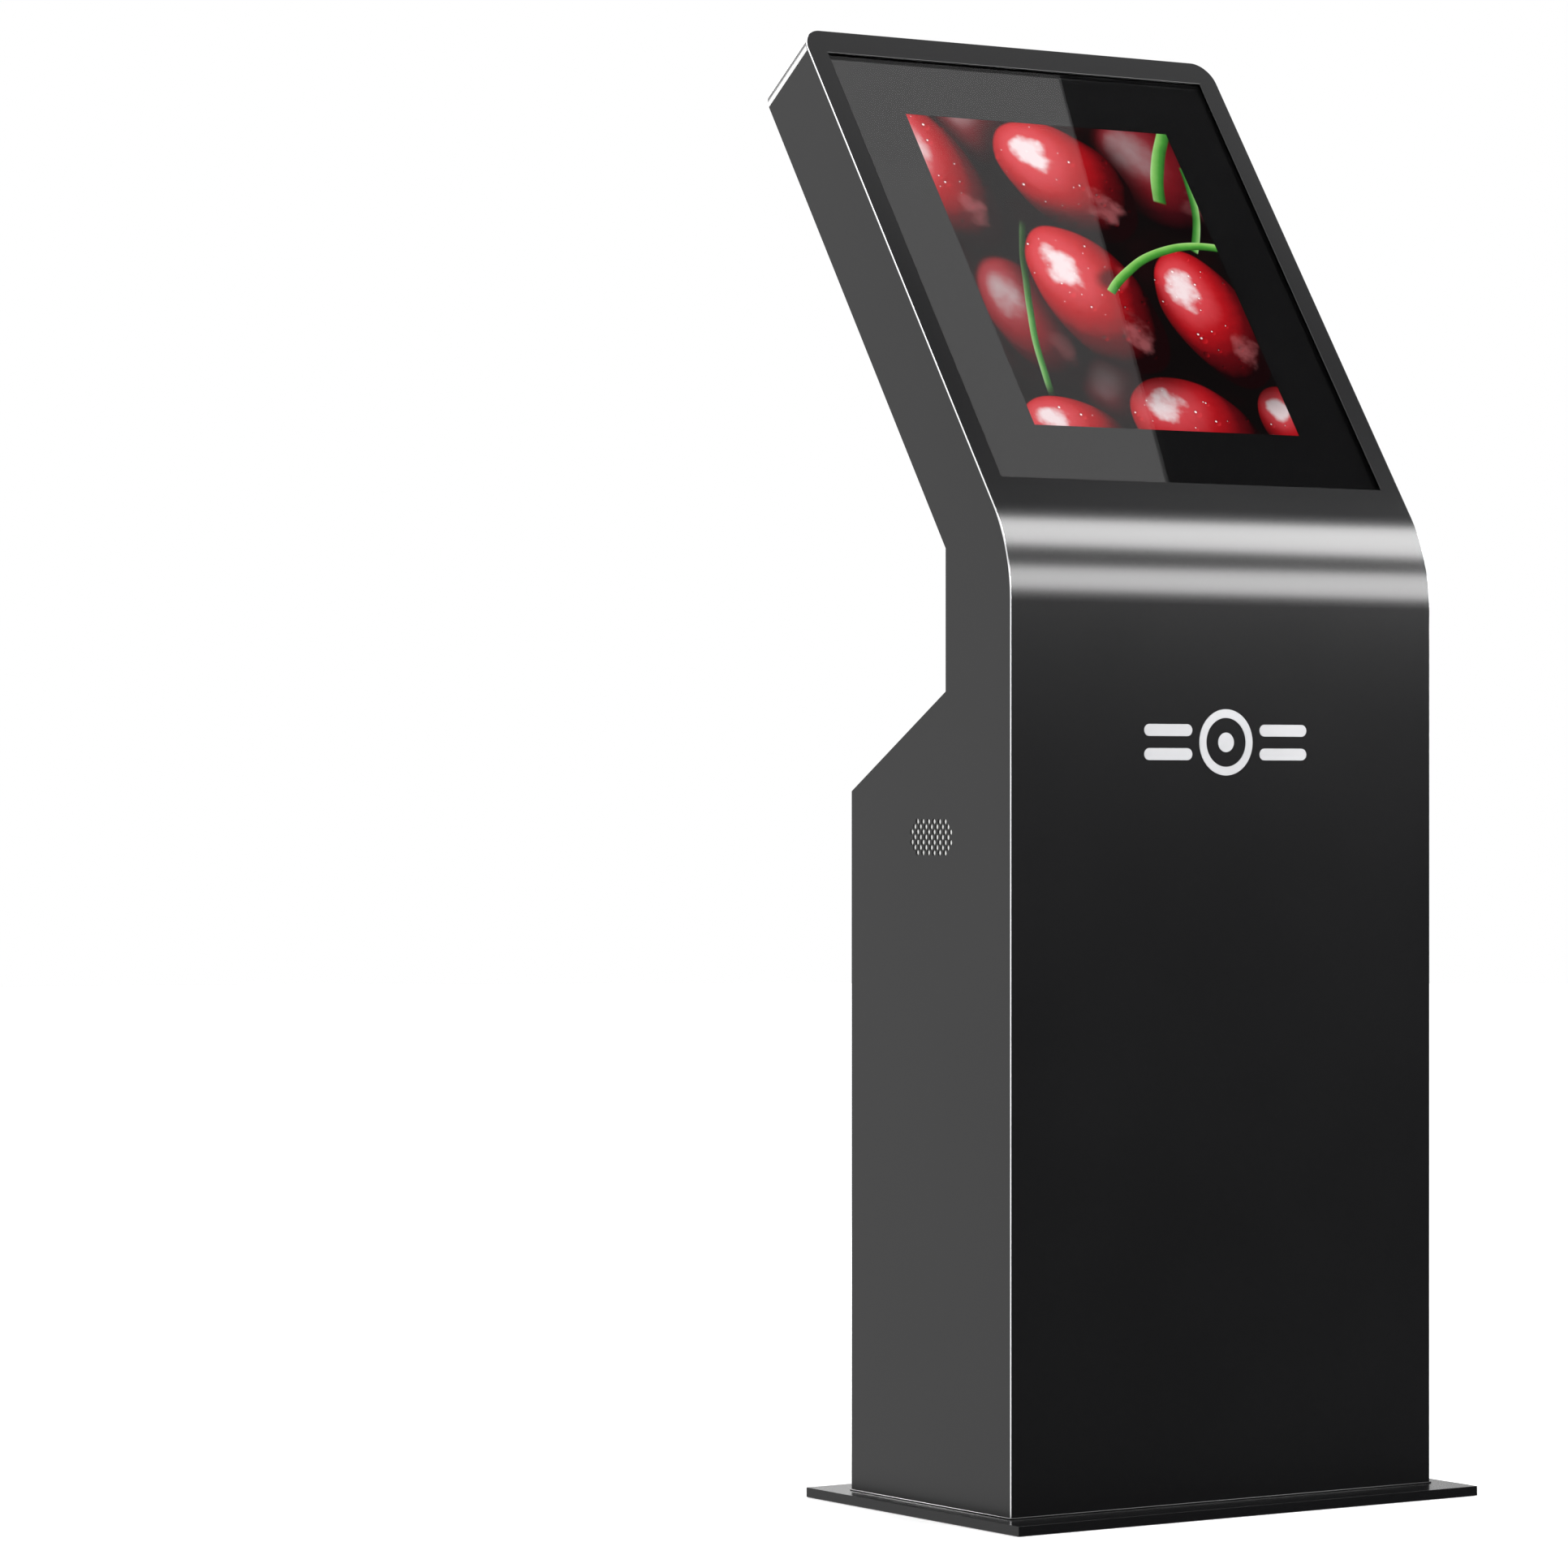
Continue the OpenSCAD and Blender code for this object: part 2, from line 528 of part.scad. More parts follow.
module driver_board() color("#1f5c3a") head() translate([0, screen_s, -board_z - board_t]) {
    difference() {
        translate([-board_w / 2, -board_h / 2, 0]) cube([board_w, board_h, board_t]);
        for (x = [-1, 1], y = [-1, 1])
            translate([x * (board_w / 2 - 6), y * (board_h / 2 - 6), -cut]) cylinder(r = 1.7, h = 4);
    }
    block([-20, -14, -3], [12, 14, 0]);
    block([30, -30, -9], [50, -14, 0]);
    for (i = [0:3]) translate([-60 + 24 * i, board_h / 2 - 12, -11]) cube([18, 12, 11]);
    for (i = [0:4]) translate([58, -36 + 15 * i, -9]) cylinder(r = 4, h = 9);
}
module board_standoffs() color("#b59a4c") head() for (x = [-1, 1], y = [-1, 1])
    translate([x * (board_w / 2 - 6), screen_s + y * (board_h / 2 - 6), 0]) {
        translate([0, 0, -board_z]) cylinder(r = 3, h = board_z - lcd_back, $fn = 6);
        translate([0, 0, -board_z - board_t - 1.5]) cylinder(r = 2.8, h = 1.5);
        translate([0, 0, -board_z - board_t]) cylinder(r = 1.5, h = board_t);
    }

// ---- speakers ----

driver_r = 16;
driver_y = 18;
// Places children at each of the two drivers behind a grille, facing out of the side panel
module drivers() for (y = [-1, 1]) translate([in_x, speaker_y + y * driver_y, speaker_z])
    rotate([0, -90, 0]) children();
module speaker() {
    difference() {
        block([in_x - 3, speaker_y - 40, speaker_z - 24], [in_x, speaker_y + 40, speaker_z + 24]);
        drivers() translate([0, 0, -cut]) cylinder(r = driver_r, h = 3 + 2 * cut);
    }
    drivers() {
        translate([0, 0, 3]) difference() {
            cylinder(r1 = driver_r + 1.5, r2 = 11, h = 12);
            translate([0, 0, -0.01]) cylinder(r1 = driver_r, r2 = 9.5, h = 12.02);
        }
        translate([0, 0, 15]) cylinder(r = 13, h = 8);
    }
}
module speaker_cones() drivers() rotate_extrude() polygon([
    [driver_r - fit, 1], [driver_r - fit, 2.2], [8, 9], [4, 10.5], [0, 11.2], [0, 10.4], [4, 9.6],
    [7.5, 8], [driver_r - 2, 1]]);
module right_speaker() color("#2d2e30") speaker();
module left_speaker() color("#2d2e30") mirror([1, 0, 0]) speaker();
module right_speaker_cones() color("#151515") speaker_cones();
module left_speaker_cones() color("#151515") mirror([1, 0, 0]) speaker_cones();

// ---- equipment inside ----

shelf_y0 = front_y + sheet + rail_w + 2;
shelf_y1 = rear_y - sheet - rail_w - 14;
module equipment_shelf() color("#6c6f73") difference() {
    union() {
        block([-in_x, shelf_y0, shelf_z], [in_x, shelf_y1, shelf_z + 2]);
        for (x = [-in_x, in_x - 2]) block([x, shelf_y0, shelf_z - 20], [x + 2, shelf_y1, shelf_z]);
        for (y = [shelf_y0, shelf_y1 - 2]) block([-in_x + 2, y, shelf_z - 12], [in_x - 2, y + 2, shelf_z]);
    }
    for (x = [-1, 1], i = [-2:2])
        translate([x * (in_x - 70), i * 18 - 6, shelf_z - cut])
            linear_extrude(2 + 2 * cut) polygon(slot(70, 6));
}
fins = 15;
module computer_case() color("#26282b") translate([0, computer_y, shelf_z + 2 + foot_h]) {
    translate([-computer_w / 2, -computer_d / 2, 0]) cube([computer_w, computer_d, computer_h - 12]);
    for (i = [0:fins - 1])
        translate([-computer_w / 2 + i * (computer_w - 3) / (fins - 1), -computer_d / 2, computer_h - 12])
            cube([3, computer_d, 12]);
    // connectors on the side towards the door
    for (i = [0:5]) translate([-80 + 28 * i, computer_d / 2, 8]) cube([18, 3, i < 2 ? 14 : 8]);
}
module computer_feet() color("#0e0e0f") for (x = [-1, 1], y = [-1, 1])
    translate([x * (computer_w / 2 - 14), computer_y + y * (computer_d / 2 - 14), shelf_z + 2])
        cylinder(r1 = 8, r2 = 7, h = foot_h);
supply_z = plate_t + frame_h + 70;
module power_supply() color("#9a9da1") difference() {
    block([-in_x, -60, supply_z], [-in_x + 30, 50, supply_z + 160]);
    for (i = [0:7], j = [0:3])
        translate([-in_x + 26, -45 + 12 * i, supply_z + 110 + 10 * j])
            rotate([0, 90, 0]) cylinder(r = 3, h = 6);
}
module wiring_duct() color("#7d8084") difference() {
    block([in_x - 30, -20, rail_z0 + 40], [in_x, 20, shelf_z - 30]);
    block([in_x - 28, -18, rail_z0 + 39], [in_x - 2, 18, shelf_z - 29]);
    for (z = [rail_z0 + 52:14:shelf_z - 44])
        block([in_x - 29, -21, z], [in_x - 6, 21, z + 6]);
}

// ---- fitted to the sill panel ----

module power_inlet() color("#141516") translate([inlet_x, 0, device_z]) difference() {
    union() {
        block([-inlet_w / 2 - 5, rear_y, -inlet_h / 2 - 5],
          [inlet_w / 2 + 5, rear_y + 2.5, inlet_h / 2 + 5]);
        block([-inlet_w / 2, rear_y - inlet_d, -inlet_h / 2], [inlet_w / 2, rear_y, inlet_h / 2]);
    }
    block([-socket_w / 2, rear_y - socket_d, 4], [socket_w / 2, rear_y + 3, 4 + socket_h]);
    block([-socket_w / 2, rear_y - socket_d, -24], [socket_w / 2, rear_y + 3, -10]);
}
module inlet_pins() color("#c9c5b8") for (x = [-7, 0, 7])
    translate([inlet_x + x, 0, device_z + 4 + socket_h / 2 + (x == 0 ? 2 : -2)])
        block([-1, rear_y - socket_d, -2.5], [1, rear_y - 6, 2.5]);
drawer_gap = 0.3;
module fuse_drawer() color("#1d1e20") translate([inlet_x, 0, device_z - 17]) difference() {
    block([-socket_w / 2 + drawer_gap, rear_y - socket_d + drawer_gap, -7 + drawer_gap],
          [socket_w / 2 - drawer_gap, rear_y + 2.5, 7 - drawer_gap]);
    // the fuse lies in a tray that is open upwards
    block([-socket_w / 2 + 2, rear_y - socket_d + 2, -4], [socket_w / 2 - 2, rear_y - 3, 8]);
    block([-4, rear_y + 1.5, -2], [4, rear_y + 3, 2]);
}
module switch_bezel() color("#141516") translate([switch_x, rear_y, device_z]) difference() {
    union() {
        block([-rocker_w / 2 - 4, 0, -rocker_r - 4], [rocker_w / 2 + 4, 2, rocker_r + 4]);
        block([-rocker_w / 2 - 2, -18, -rocker_r - 2], [rocker_w / 2 + 2, 0, rocker_r + 2]);
    }
    translate([0, -2, 0]) rotate([0, 90, 0])
        cylinder(r = rocker_r + fit, h = rocker_w + 2 * fit, center = true);
    block([-rocker_w / 2 - fit, -2, -rocker_r - fit], [rocker_w / 2 + fit, 3, rocker_r + fit]);
    translate([0, -2, 0]) rotate([0, 90, 0])
        cylinder(r = rocker_pin_r + running, h = rocker_w + 3, center = true);
}
// The rocker rests tipped to one side; its two faces meet in a shallow V over the pivot
rocker_rim = 4 + rocker_r * tan(rocker_tilt);
module switch_rocker() color("#b3282b") translate([switch_x, rear_y - 2, device_z])
    rotate([-rocker_tilt, 0, 0]) {
        intersection() {
            rotate([0, 90, 0]) cylinder(r = rocker_r, h = rocker_w, center = true);
            across(rocker_w) polygon([
                [-5, -rocker_r], [-5, rocker_r], [rocker_rim, rocker_r], [4, 0], [rocker_rim, -rocker_r]]);
        }
        rotate([0, 90, 0]) cylinder(r = rocker_pin_r, h = rocker_w + 2.4, center = true);
    }
fan_y1 = rear_y - sheet;
fan_y0 = fan_y1 - fan_t;
module fan_frame() color("#1a1b1d") translate([fan_x, 0, device_z]) {
    difference() {
        block([-fan_w / 2, fan_y0, -fan_w / 2], [fan_w / 2, fan_y1, fan_w / 2]);
        along_y(fan_w / 2 - 2, fan_y0 - cut, fan_y1 + cut);
        for (x = [-1, 1], z = [-1, 1])
            translate([x * (fan_w / 2 - 4.25), 0, z * (fan_w / 2 - 4.25)])
                along_y(2.2, fan_y0 - cut, fan_y1 + cut);
    }
    difference() {
        union() {
            along_y(fan_hub_r, fan_y0, fan_y0 + 3);
            for (a = [45:90:315]) rotate([0, a, 0])
                block([fan_hub_r - 2, fan_y0, -2.5], [fan_w / 2 - 1.5, fan_y0 + 3, 2.5]);
        }
        along_y(fan_shaft_r + running, fan_y0 - cut, fan_y0 + 3 + cut);
    }
}
blades = 7;
module fan_rotor() color("#222326") translate([fan_x, 0, device_z]) {
    along_y(fan_hub_r, fan_y0 + 4, fan_y1 - 3);
    along_y(fan_shaft_r, fan_y0, fan_y0 + 4);
    for (i = [0:blades - 1]) rotate([0, i * 360 / blades, 0])
        translate([fan_hub_r - 1, (fan_y0 + fan_y1) / 2 + 0.5, 0]) rotate([35, 0, 0])
            block([0, -0.8, -11], [fan_w / 2 - 4.5 - fan_hub_r, 0.8, 11]);
}
guard_r = 1;
module fan_guard() color("#9a9da1") translate([fan_x, rear_y + guard_r, device_z]) {
    for (r = [8:7:fan_w / 2 - 4])
        rotate([90, 0, 0]) rotate_extrude($fn = 64) translate([r, 0]) circle(r = guard_r, $fn = 16);
    for (a = [45:90:315]) rotate([0, a, 0]) {
        translate([7, 0.9, -1]) cube([fan_w / 2 * sqrt(2) - 13.01, 1.2, 2]);
        translate([fan_w / 2 * sqrt(2) - 6.01, 0, 0]) difference() {
            rotate([90, 0, 0]) cylinder(r = 4, h = 2 * guard_r, center = true);
            along_y(2.2, -5, 5);
        }
    }
}
module button_housing() color("#b9bbbd") translate([button_x, 0, device_z]) difference() {
    union() {
        along_y(button_r + 4, rear_y, rear_y + 2);
        along_y(button_r + 1, rear_y - 18, rear_y);
        translate([0, rear_y - sheet, 0]) rotate([90, 0, 0]) cylinder(r = button_r + 4, h = 3, $fn = 6);
    }
    along_y(button_r - 1 + 0.1, rear_y - 14, rear_y + 3);
}
module button_cap() color("#d3d5d7") translate([button_x, 0, device_z])
    along_y(button_r - 1, rear_y - 11, rear_y + 2.5);

// ---- emblem: a ring with a dot in it, between two pairs of bars ----

bar_h = 11;
module emblem() color("#d9dadb") translate([0, front_y, emblem_z])
    rotate([90, 0, 0]) linear_extrude(emblem_t) {
    difference() { circle(r = emblem_h / 2, $fn = 96); circle(r = emblem_h / 2 - 8, $fn = 96); }
    circle(r = 9);
    for (x = [-1, 1], y = [-1, 1])
        translate([x * (emblem_w / 2 + emblem_h / 2 + 8) / 2, y * bar_h])
            polygon(slot((emblem_w - emblem_h) / 2 - 8, bar_h));
}

base_plate();
base_frame();
base_bolts();
cable_grommet();
left_side_panel();
right_side_panel();
front_panel();
left_front_rail();
right_front_rail();
head_top_cap();
left_head_rail();
right_head_rail();
head_rear_cover();
head_cover_screws();
neck_panel();
left_rear_rail();
right_rear_rail();
rear_frame();
door_seal();
rear_sill_panel();
rear_screws();
rear_door();
frame_hinge_leaves();
door_hinge_leaves();
hinge_pins();
lock_housing();
lock_barrel();
lock_cam();
glass_tape();
touch_glass();
glass_border();
glass_clips();
display_foam();
display_unit();
display_face();
upper_crossbar();
lower_crossbar();
driver_board();
board_standoffs();
left_speaker();
left_speaker_cones();
right_speaker();
right_speaker_cones();
equipment_shelf();
computer_case();
computer_feet();
power_supply();
wiring_duct();
power_inlet();
inlet_pins();
fuse_drawer();
switch_bezel();
switch_rocker();
fan_frame();
fan_rotor();
fan_guard();
button_housing();
button_cap();
emblem();
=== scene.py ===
# %% [markdown]
# # A touchscreen kiosk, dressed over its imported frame
# The kiosk is a folded steel cabinet on a heavy base plate, with a screen head that leans back.
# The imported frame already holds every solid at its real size. This lesson gives the visible
# pieces their rounded edges, their finishes and their light, and leaves the sizes alone.

# %% Load the frame
import bmesh
import bpy
import json
import math
from mathutils import Matrix, Vector

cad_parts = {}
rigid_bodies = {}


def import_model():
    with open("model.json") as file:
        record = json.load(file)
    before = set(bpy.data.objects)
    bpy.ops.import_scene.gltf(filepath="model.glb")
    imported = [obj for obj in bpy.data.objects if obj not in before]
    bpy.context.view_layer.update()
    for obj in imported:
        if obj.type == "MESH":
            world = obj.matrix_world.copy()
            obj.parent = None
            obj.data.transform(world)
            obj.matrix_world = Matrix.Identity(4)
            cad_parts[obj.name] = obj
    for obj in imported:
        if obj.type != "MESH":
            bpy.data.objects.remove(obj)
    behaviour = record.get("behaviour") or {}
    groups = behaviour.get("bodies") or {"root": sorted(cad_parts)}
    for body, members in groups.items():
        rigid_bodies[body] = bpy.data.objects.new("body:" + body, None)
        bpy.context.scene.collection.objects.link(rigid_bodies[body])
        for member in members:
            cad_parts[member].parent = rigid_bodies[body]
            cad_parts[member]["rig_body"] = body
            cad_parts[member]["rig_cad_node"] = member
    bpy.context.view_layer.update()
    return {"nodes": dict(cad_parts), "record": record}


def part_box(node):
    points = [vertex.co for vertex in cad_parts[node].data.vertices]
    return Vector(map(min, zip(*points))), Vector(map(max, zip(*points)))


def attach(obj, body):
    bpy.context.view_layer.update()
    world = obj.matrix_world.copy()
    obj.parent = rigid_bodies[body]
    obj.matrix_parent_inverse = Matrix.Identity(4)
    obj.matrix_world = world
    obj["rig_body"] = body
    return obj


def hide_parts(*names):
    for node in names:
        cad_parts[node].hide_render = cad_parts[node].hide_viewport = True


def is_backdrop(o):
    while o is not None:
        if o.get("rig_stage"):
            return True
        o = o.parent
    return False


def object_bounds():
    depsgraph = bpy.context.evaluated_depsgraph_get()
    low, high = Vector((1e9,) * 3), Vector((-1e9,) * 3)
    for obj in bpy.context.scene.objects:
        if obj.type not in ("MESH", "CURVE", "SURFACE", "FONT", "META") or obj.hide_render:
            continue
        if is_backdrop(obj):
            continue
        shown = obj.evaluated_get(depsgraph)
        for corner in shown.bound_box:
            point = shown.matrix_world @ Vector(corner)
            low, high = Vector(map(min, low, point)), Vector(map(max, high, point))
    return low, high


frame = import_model()
nodes = frame["nodes"]

# %% [markdown]
# ## Sizes
# The outer sizes come from the frame's boxes. The lean, the bend and the margins round the
# glass can't be read from a box, so they are named here, in metres, as on the drawing.
# Taking the rest from the boxes keeps the looks in step with the frame if its sizes change.

# %% Sizes
MM = 0.001
SHEET = 2 * MM                               # thickness of the cabinet's sheet
TILT = math.radians(35)                      # how far the head leans back
BEND_R = 156 * MM
HEAD_L = 563.5 * MM                          # from the end of the bend to the head's top edge
HEAD_T = 85 * MM
CORNER_R = 25 * MM                           # the round corners at the top of the face
FRONT_H = 832.6 * MM                         # where the bend begins
LOW_MARGIN = 31 * MM                         # from the bend to the window round the glass
TOP_MARGIN = 27.2 * MM
SIDE_MARGIN = 21.4 * MM
PICTURE_W = 305.5 * MM
PICTURE_H = 373.1 * MM
LEFT = Vector((-1, 0, 0))
RIGHT = Vector((1, 0, 0))
FRONT = Vector((0, -1, 0))
UP = Vector((0, 0, 1))

front_low, front_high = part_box("front_panel")
body_w = front_high.x - front_low.x
front_y = front_low.y
floor_top = front_low.z                      # top of the base plate
rear_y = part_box("rear_door")[1].y
bend_end = Vector((0, front_y + BEND_R * (1 - math.cos(TILT)), FRONT_H + BEND_R * math.sin(TILT)))
up_face = Vector((0, math.sin(TILT), math.cos(TILT)))
out_of_face = Vector((0, -math.cos(TILT), math.sin(TILT)))
window_w = body_w - 2 * SIDE_MARGIN
window_h = HEAD_L - LOW_MARGIN - TOP_MARGIN
window_s = LOW_MARGIN + window_h / 2         # the window's middle, up the face from the bend
print("body", round(body_w, 4), "window", round(window_w, 4), round(window_h, 4))


def on_face(x, s, out=0.0):
    """A point on the head: x across, s up the face from the bend, out in front of it."""
    return Vector((x, 0, 0)) + bend_end + up_face * s + out_of_face * out


# %% [markdown]
# ## The camera
# The kiosk is seen from its left front, from about half its height and from over five metres
# away. The camera is level, because a tilted one would make the upright edges lean, and a small
# sideways shift puts the kiosk in the right half of the frame.

# %% Camera
VIEW_TURN = math.radians(34.712)
CAMERA_AT = Vector((-3.1841, -4.3988, 0.6687))
LENS = 132.76                                # focal length in mm, for a 36 mm wide sensor
SIDE_SHIFT = -0.1520                         # puts the kiosk in the right half of the frame

bpy.ops.object.camera_add(location=CAMERA_AT, rotation=(math.radians(90), 0, -VIEW_TURN))
camera = bpy.context.object
camera.name = "camera"
camera.data.sensor_width = 36
camera.data.lens = LENS
camera.data.shift_x = SIDE_SHIFT
camera.data.clip_end = 100
bpy.context.scene.camera = camera
bpy.context.scene.view_settings.view_transform = "Standard"
print("camera", [round(v, 3) for v in camera.location])

# %% [markdown]
# ## Light
# A black gloss surface shows only what it mirrors, so the light is planned backwards: the ray
# from the camera is turned about each face, and a card is put where that ray goes. The side
# panel mirrors the bright wall behind it, the bend mirrors two long strips, and the left of
# the glass mirrors one big card whose edge crosses the screen.


# %% Where a face mirrors to
def mirrored(point, normal):
    """The direction in which the camera's ray leaves a face at this point."""
    to_camera = (CAMERA_AT - point).normalized()
    return (2 * to_camera.dot(normal) * normal - to_camera).normalized()


def card(name, centre, facing, along, width, length, radiance):
    """A soft box: an area light whose length runs along one direction, unseen by the camera."""
    towards = facing.normalized()
    long_axis = (along - along.dot(towards) * towards).normalized()
    turn = Matrix((towards.cross(long_axis), long_axis, -towards)).transposed()
    bpy.ops.object.light_add(type="AREA", location=centre)
    light = bpy.context.object
    light.name = name
    light.rotation_euler = turn.to_euler()
    light.data.shape = "RECTANGLE"
    light.data.size = width
    light.data.size_y = length
    light.data.energy = radiance * math.pi * width * length
    light.visible_camera = False
    return light


# %% [markdown]
# ### The card in the glass
# The edge of this card has to run across the screen from top to bottom. Two rays are sent from
# the camera to where the edge should show, and are turned about the glass: the card's long edge
# is laid through the two points where they arrive. Guessing its place would take many tries.

# %% The card that the glass mirrors
CARD_AWAY = 1.7
CARD_W = 1.5
CARD_L = 2.6
edge_top = on_face(0.052, LOW_MARGIN + window_h)
edge_low = on_face(-0.028, LOW_MARGIN)
ray_top = mirrored(edge_top, out_of_face)
ray_low = mirrored(edge_low, out_of_face)
spot_top = edge_top + ray_top * CARD_AWAY
spot_low = edge_low + ray_low * CARD_AWAY
ray = (ray_top + ray_low).normalized()
edge_line = (spot_top - spot_low).normalized()
left_spot = on_face(-0.2, window_s)
outward = left_spot + mirrored(left_spot, out_of_face) * CARD_AWAY - (spot_top + spot_low) / 2
sideways = edge_line.cross(ray).normalized()
sideways *= 1 if sideways.dot(outward) > 0 else -1
card("glass_card", (spot_top + spot_low) / 2 + sideways * CARD_W / 2, -ray, edge_line,
     CARD_W, CARD_L, 1.2)
print("the card's edge runs along", [round(v, 2) for v in edge_line])

# %% [markdown]
# ### The strips in the bend
# A bend is a mirror that shows a whole fan of directions, so a strip of light lying across it
# shows as a thin band. Each strip is named by how far the sheet leans where its band lies, and
# its width sets how wide the band is.

# %% The strips that the bend mirrors
STRIP_AWAY = 2.0
STRIP_L = 2.0
STRIPS = [
    # name, lean in degrees, width, radiance
    ("upper_strip", 24.2, 0.62, 14.0),
    ("lower_strip", 8.0, 0.48, 12.5),
]
for name, degrees, width, radiance in STRIPS:
    lean = math.radians(degrees)
    normal = Vector((0, -math.cos(lean), math.sin(lean)))
    point = Vector((0, front_y + BEND_R * (1 - math.cos(lean)), FRONT_H + BEND_R * math.sin(lean)))
    away = mirrored(point, normal)
    card(name, point + away * STRIP_AWAY, -away, RIGHT, width, STRIP_L, radiance)
print("strips", [row[0] for row in STRIPS])

# %% [markdown]
# ### Soft boxes and edge cards
# Three large boxes light what the mirrors leave out. An edge shows as a bright line only if the
# small radius on it mirrors a light. So each narrow card has a spot and the way that spot faces,
# which for an edge lies half way between the two faces that meet there.

# %% Soft light from above, from the left and from behind
SOFT_BOXES = [
    # name, place, facing, long side, width, length, radiance
    ("top_box", Vector((-1.2, 1.4, 3.3)), Vector((0.25, -0.3, -1)), RIGHT, 2.6, 3.6, 1.5),
    ("left_box", Vector((-3.4, 0.9, 1.3)), Vector((1, -0.12, -0.1)), UP, 0.9, 2.4, 1.0),
    ("rear_box", Vector((1.4, 3.0, 1.7)), Vector((-0.42, -1, -0.25)), RIGHT, 1.4, 2.2, 4.0),
]
for row in SOFT_BOXES:
    card(*row)
print("soft boxes", [row[0] for row in SOFT_BOXES])

# %% Narrow cards for the edges
LOW_EDGE = Vector((-body_w / 2, front_y, 0.45))
HIGH_EDGE = on_face(-body_w / 2, HEAD_L * 0.6)
CORNER = on_face(-body_w / 2 + CORNER_R, HEAD_L - CORNER_R, -HEAD_T / 2)
FACE_TOP = on_face(0, HEAD_L + 0.06)         # past the top edge, so the light fades down the face
GRILLE = Vector((-body_w / 2, 0, 0.62))
FOOT = Vector((-0.1, front_y, floor_top))
SIDE_FOOT = Vector((-body_w / 2, 0, floor_top))
EDGE_CARDS = [
    # name, spot, which way the spot faces, distance, long side, width, length, radiance
    ("low_edge_card", LOW_EDGE, LEFT + FRONT, 2.4, UP, 0.8, 2.2, 3.0),
    ("high_edge_card", HIGH_EDGE, LEFT + out_of_face, 2.2, RIGHT, 0.7, 1.0, 4.0),
    ("corner_card", CORNER, LEFT + 0.115 * up_face, 2.6, UP, 0.9, 1.0, 11.0),
    ("face_card", FACE_TOP, out_of_face, 2.1, RIGHT, 0.66, 1.7, 0.5),
    ("grille_card", GRILLE, LEFT + FRONT, 1.8, UP, 0.8, 1.0, 4.0),
    ("foot_card", FOOT, FRONT + UP, 2.4, RIGHT, 0.5, 1.0, 4.0),
    ("side_foot_card", SIDE_FOOT, LEFT + UP, 2.4, RIGHT, 0.9, 1.2, 40.0),
]
for name, point, normal, away, along, width, length, radiance in EDGE_CARDS:
    ray = mirrored(point, normal.normalized())
    card(name, point + ray * away, -ray, along, width, length, radiance)
print("edge cards", [row[0] for row in EDGE_CARDS])

# %% [markdown]
# ### Cards for a few pieces
# In a studio, black flags keep a light off what it shouldn't reach. Light linking does that here:
# a card is given a collection, and it lights only what is in it. That way a card for the foot
# doesn't brighten the whole front.


# %% Cards kept for a few pieces
def light_only(light, *pieces):
    """Keeps a card's light for a few pieces."""
    chosen = bpy.data.collections.new("lit_by_" + light)
    for piece in pieces:
        chosen.objects.link(piece)
    bpy.data.objects[light].light_linking.receiver_collection = chosen


# %% [markdown]
# ### The room
# The camera sees plain white all round. The kiosk sees a room that is white behind it and dim
# in front, and the change between the two lies along one direction, where a ramp sets it.

# %% The room: a white wall behind, fading to a dim studio in front
ROOM_WHITE = (-0.57, 0.80, 0.12)             # the direction in which the room is brightest
ROOM_DIM = (0.07, 0.07, 0.073)
DIM_UNTIL = 0.30                             # shares of the way from the dim end to the white one
WHITE_FROM = 0.80


def make_room():
    """World light: white to the camera, bright behind the kiosk and dim in front of it."""
    world = bpy.data.worlds.new("room")
    bpy.context.scene.world = world
    world.use_nodes = True
    tree = world.node_tree
    tree.nodes.clear()
    where = tree.nodes.new("ShaderNodeTexCoord")
    turn = tree.nodes.new("ShaderNodeVectorMath")
    turn.operation = "DOT_PRODUCT"
    turn.inputs[1].default_value = ROOM_WHITE
    ramp = tree.nodes.new("ShaderNodeValToRGB")
    ramp.color_ramp.elements[0].position = DIM_UNTIL
    ramp.color_ramp.elements[0].color = (*ROOM_DIM, 1)
    ramp.color_ramp.elements[1].position = WHITE_FROM
    ramp.color_ramp.elements[1].color = (1.0, 1.0, 1.0, 1)
    half = tree.nodes.new("ShaderNodeMapRange")
    half.inputs["From Min"].default_value = -1
    lit = tree.nodes.new("ShaderNodeBackground")
    white = tree.nodes.new("ShaderNodeBackground")
    white.inputs["Color"].default_value = (1, 1, 1, 1)
    seen = tree.nodes.new("ShaderNodeLightPath")
    mix = tree.nodes.new("ShaderNodeMixShader")
    out = tree.nodes.new("ShaderNodeOutputWorld")
    tree.links.new(where.outputs["Generated"], turn.inputs[0])
    tree.links.new(turn.outputs["Value"], half.inputs["Value"])
    tree.links.new(half.outputs["Result"], ramp.inputs["Fac"])
    tree.links.new(ramp.outputs["Color"], lit.inputs["Color"])
    tree.links.new(seen.outputs["Is Camera Ray"], mix.inputs["Fac"])
    tree.links.new(lit.outputs["Background"], mix.inputs[1])
    tree.links.new(white.outputs["Background"], mix.inputs[2])
    tree.links.new(mix.outputs["Shader"], out.inputs["Surface"])


make_room()

# %% [markdown]
# ## Finishes
# Each finish is one Principled shader. A small class wraps a socket, so that shader maths reads
# as sums: each operator adds the Math node that it stands for. Any other node comes from one
# method, which takes the node's type, its settings and what its sockets get.


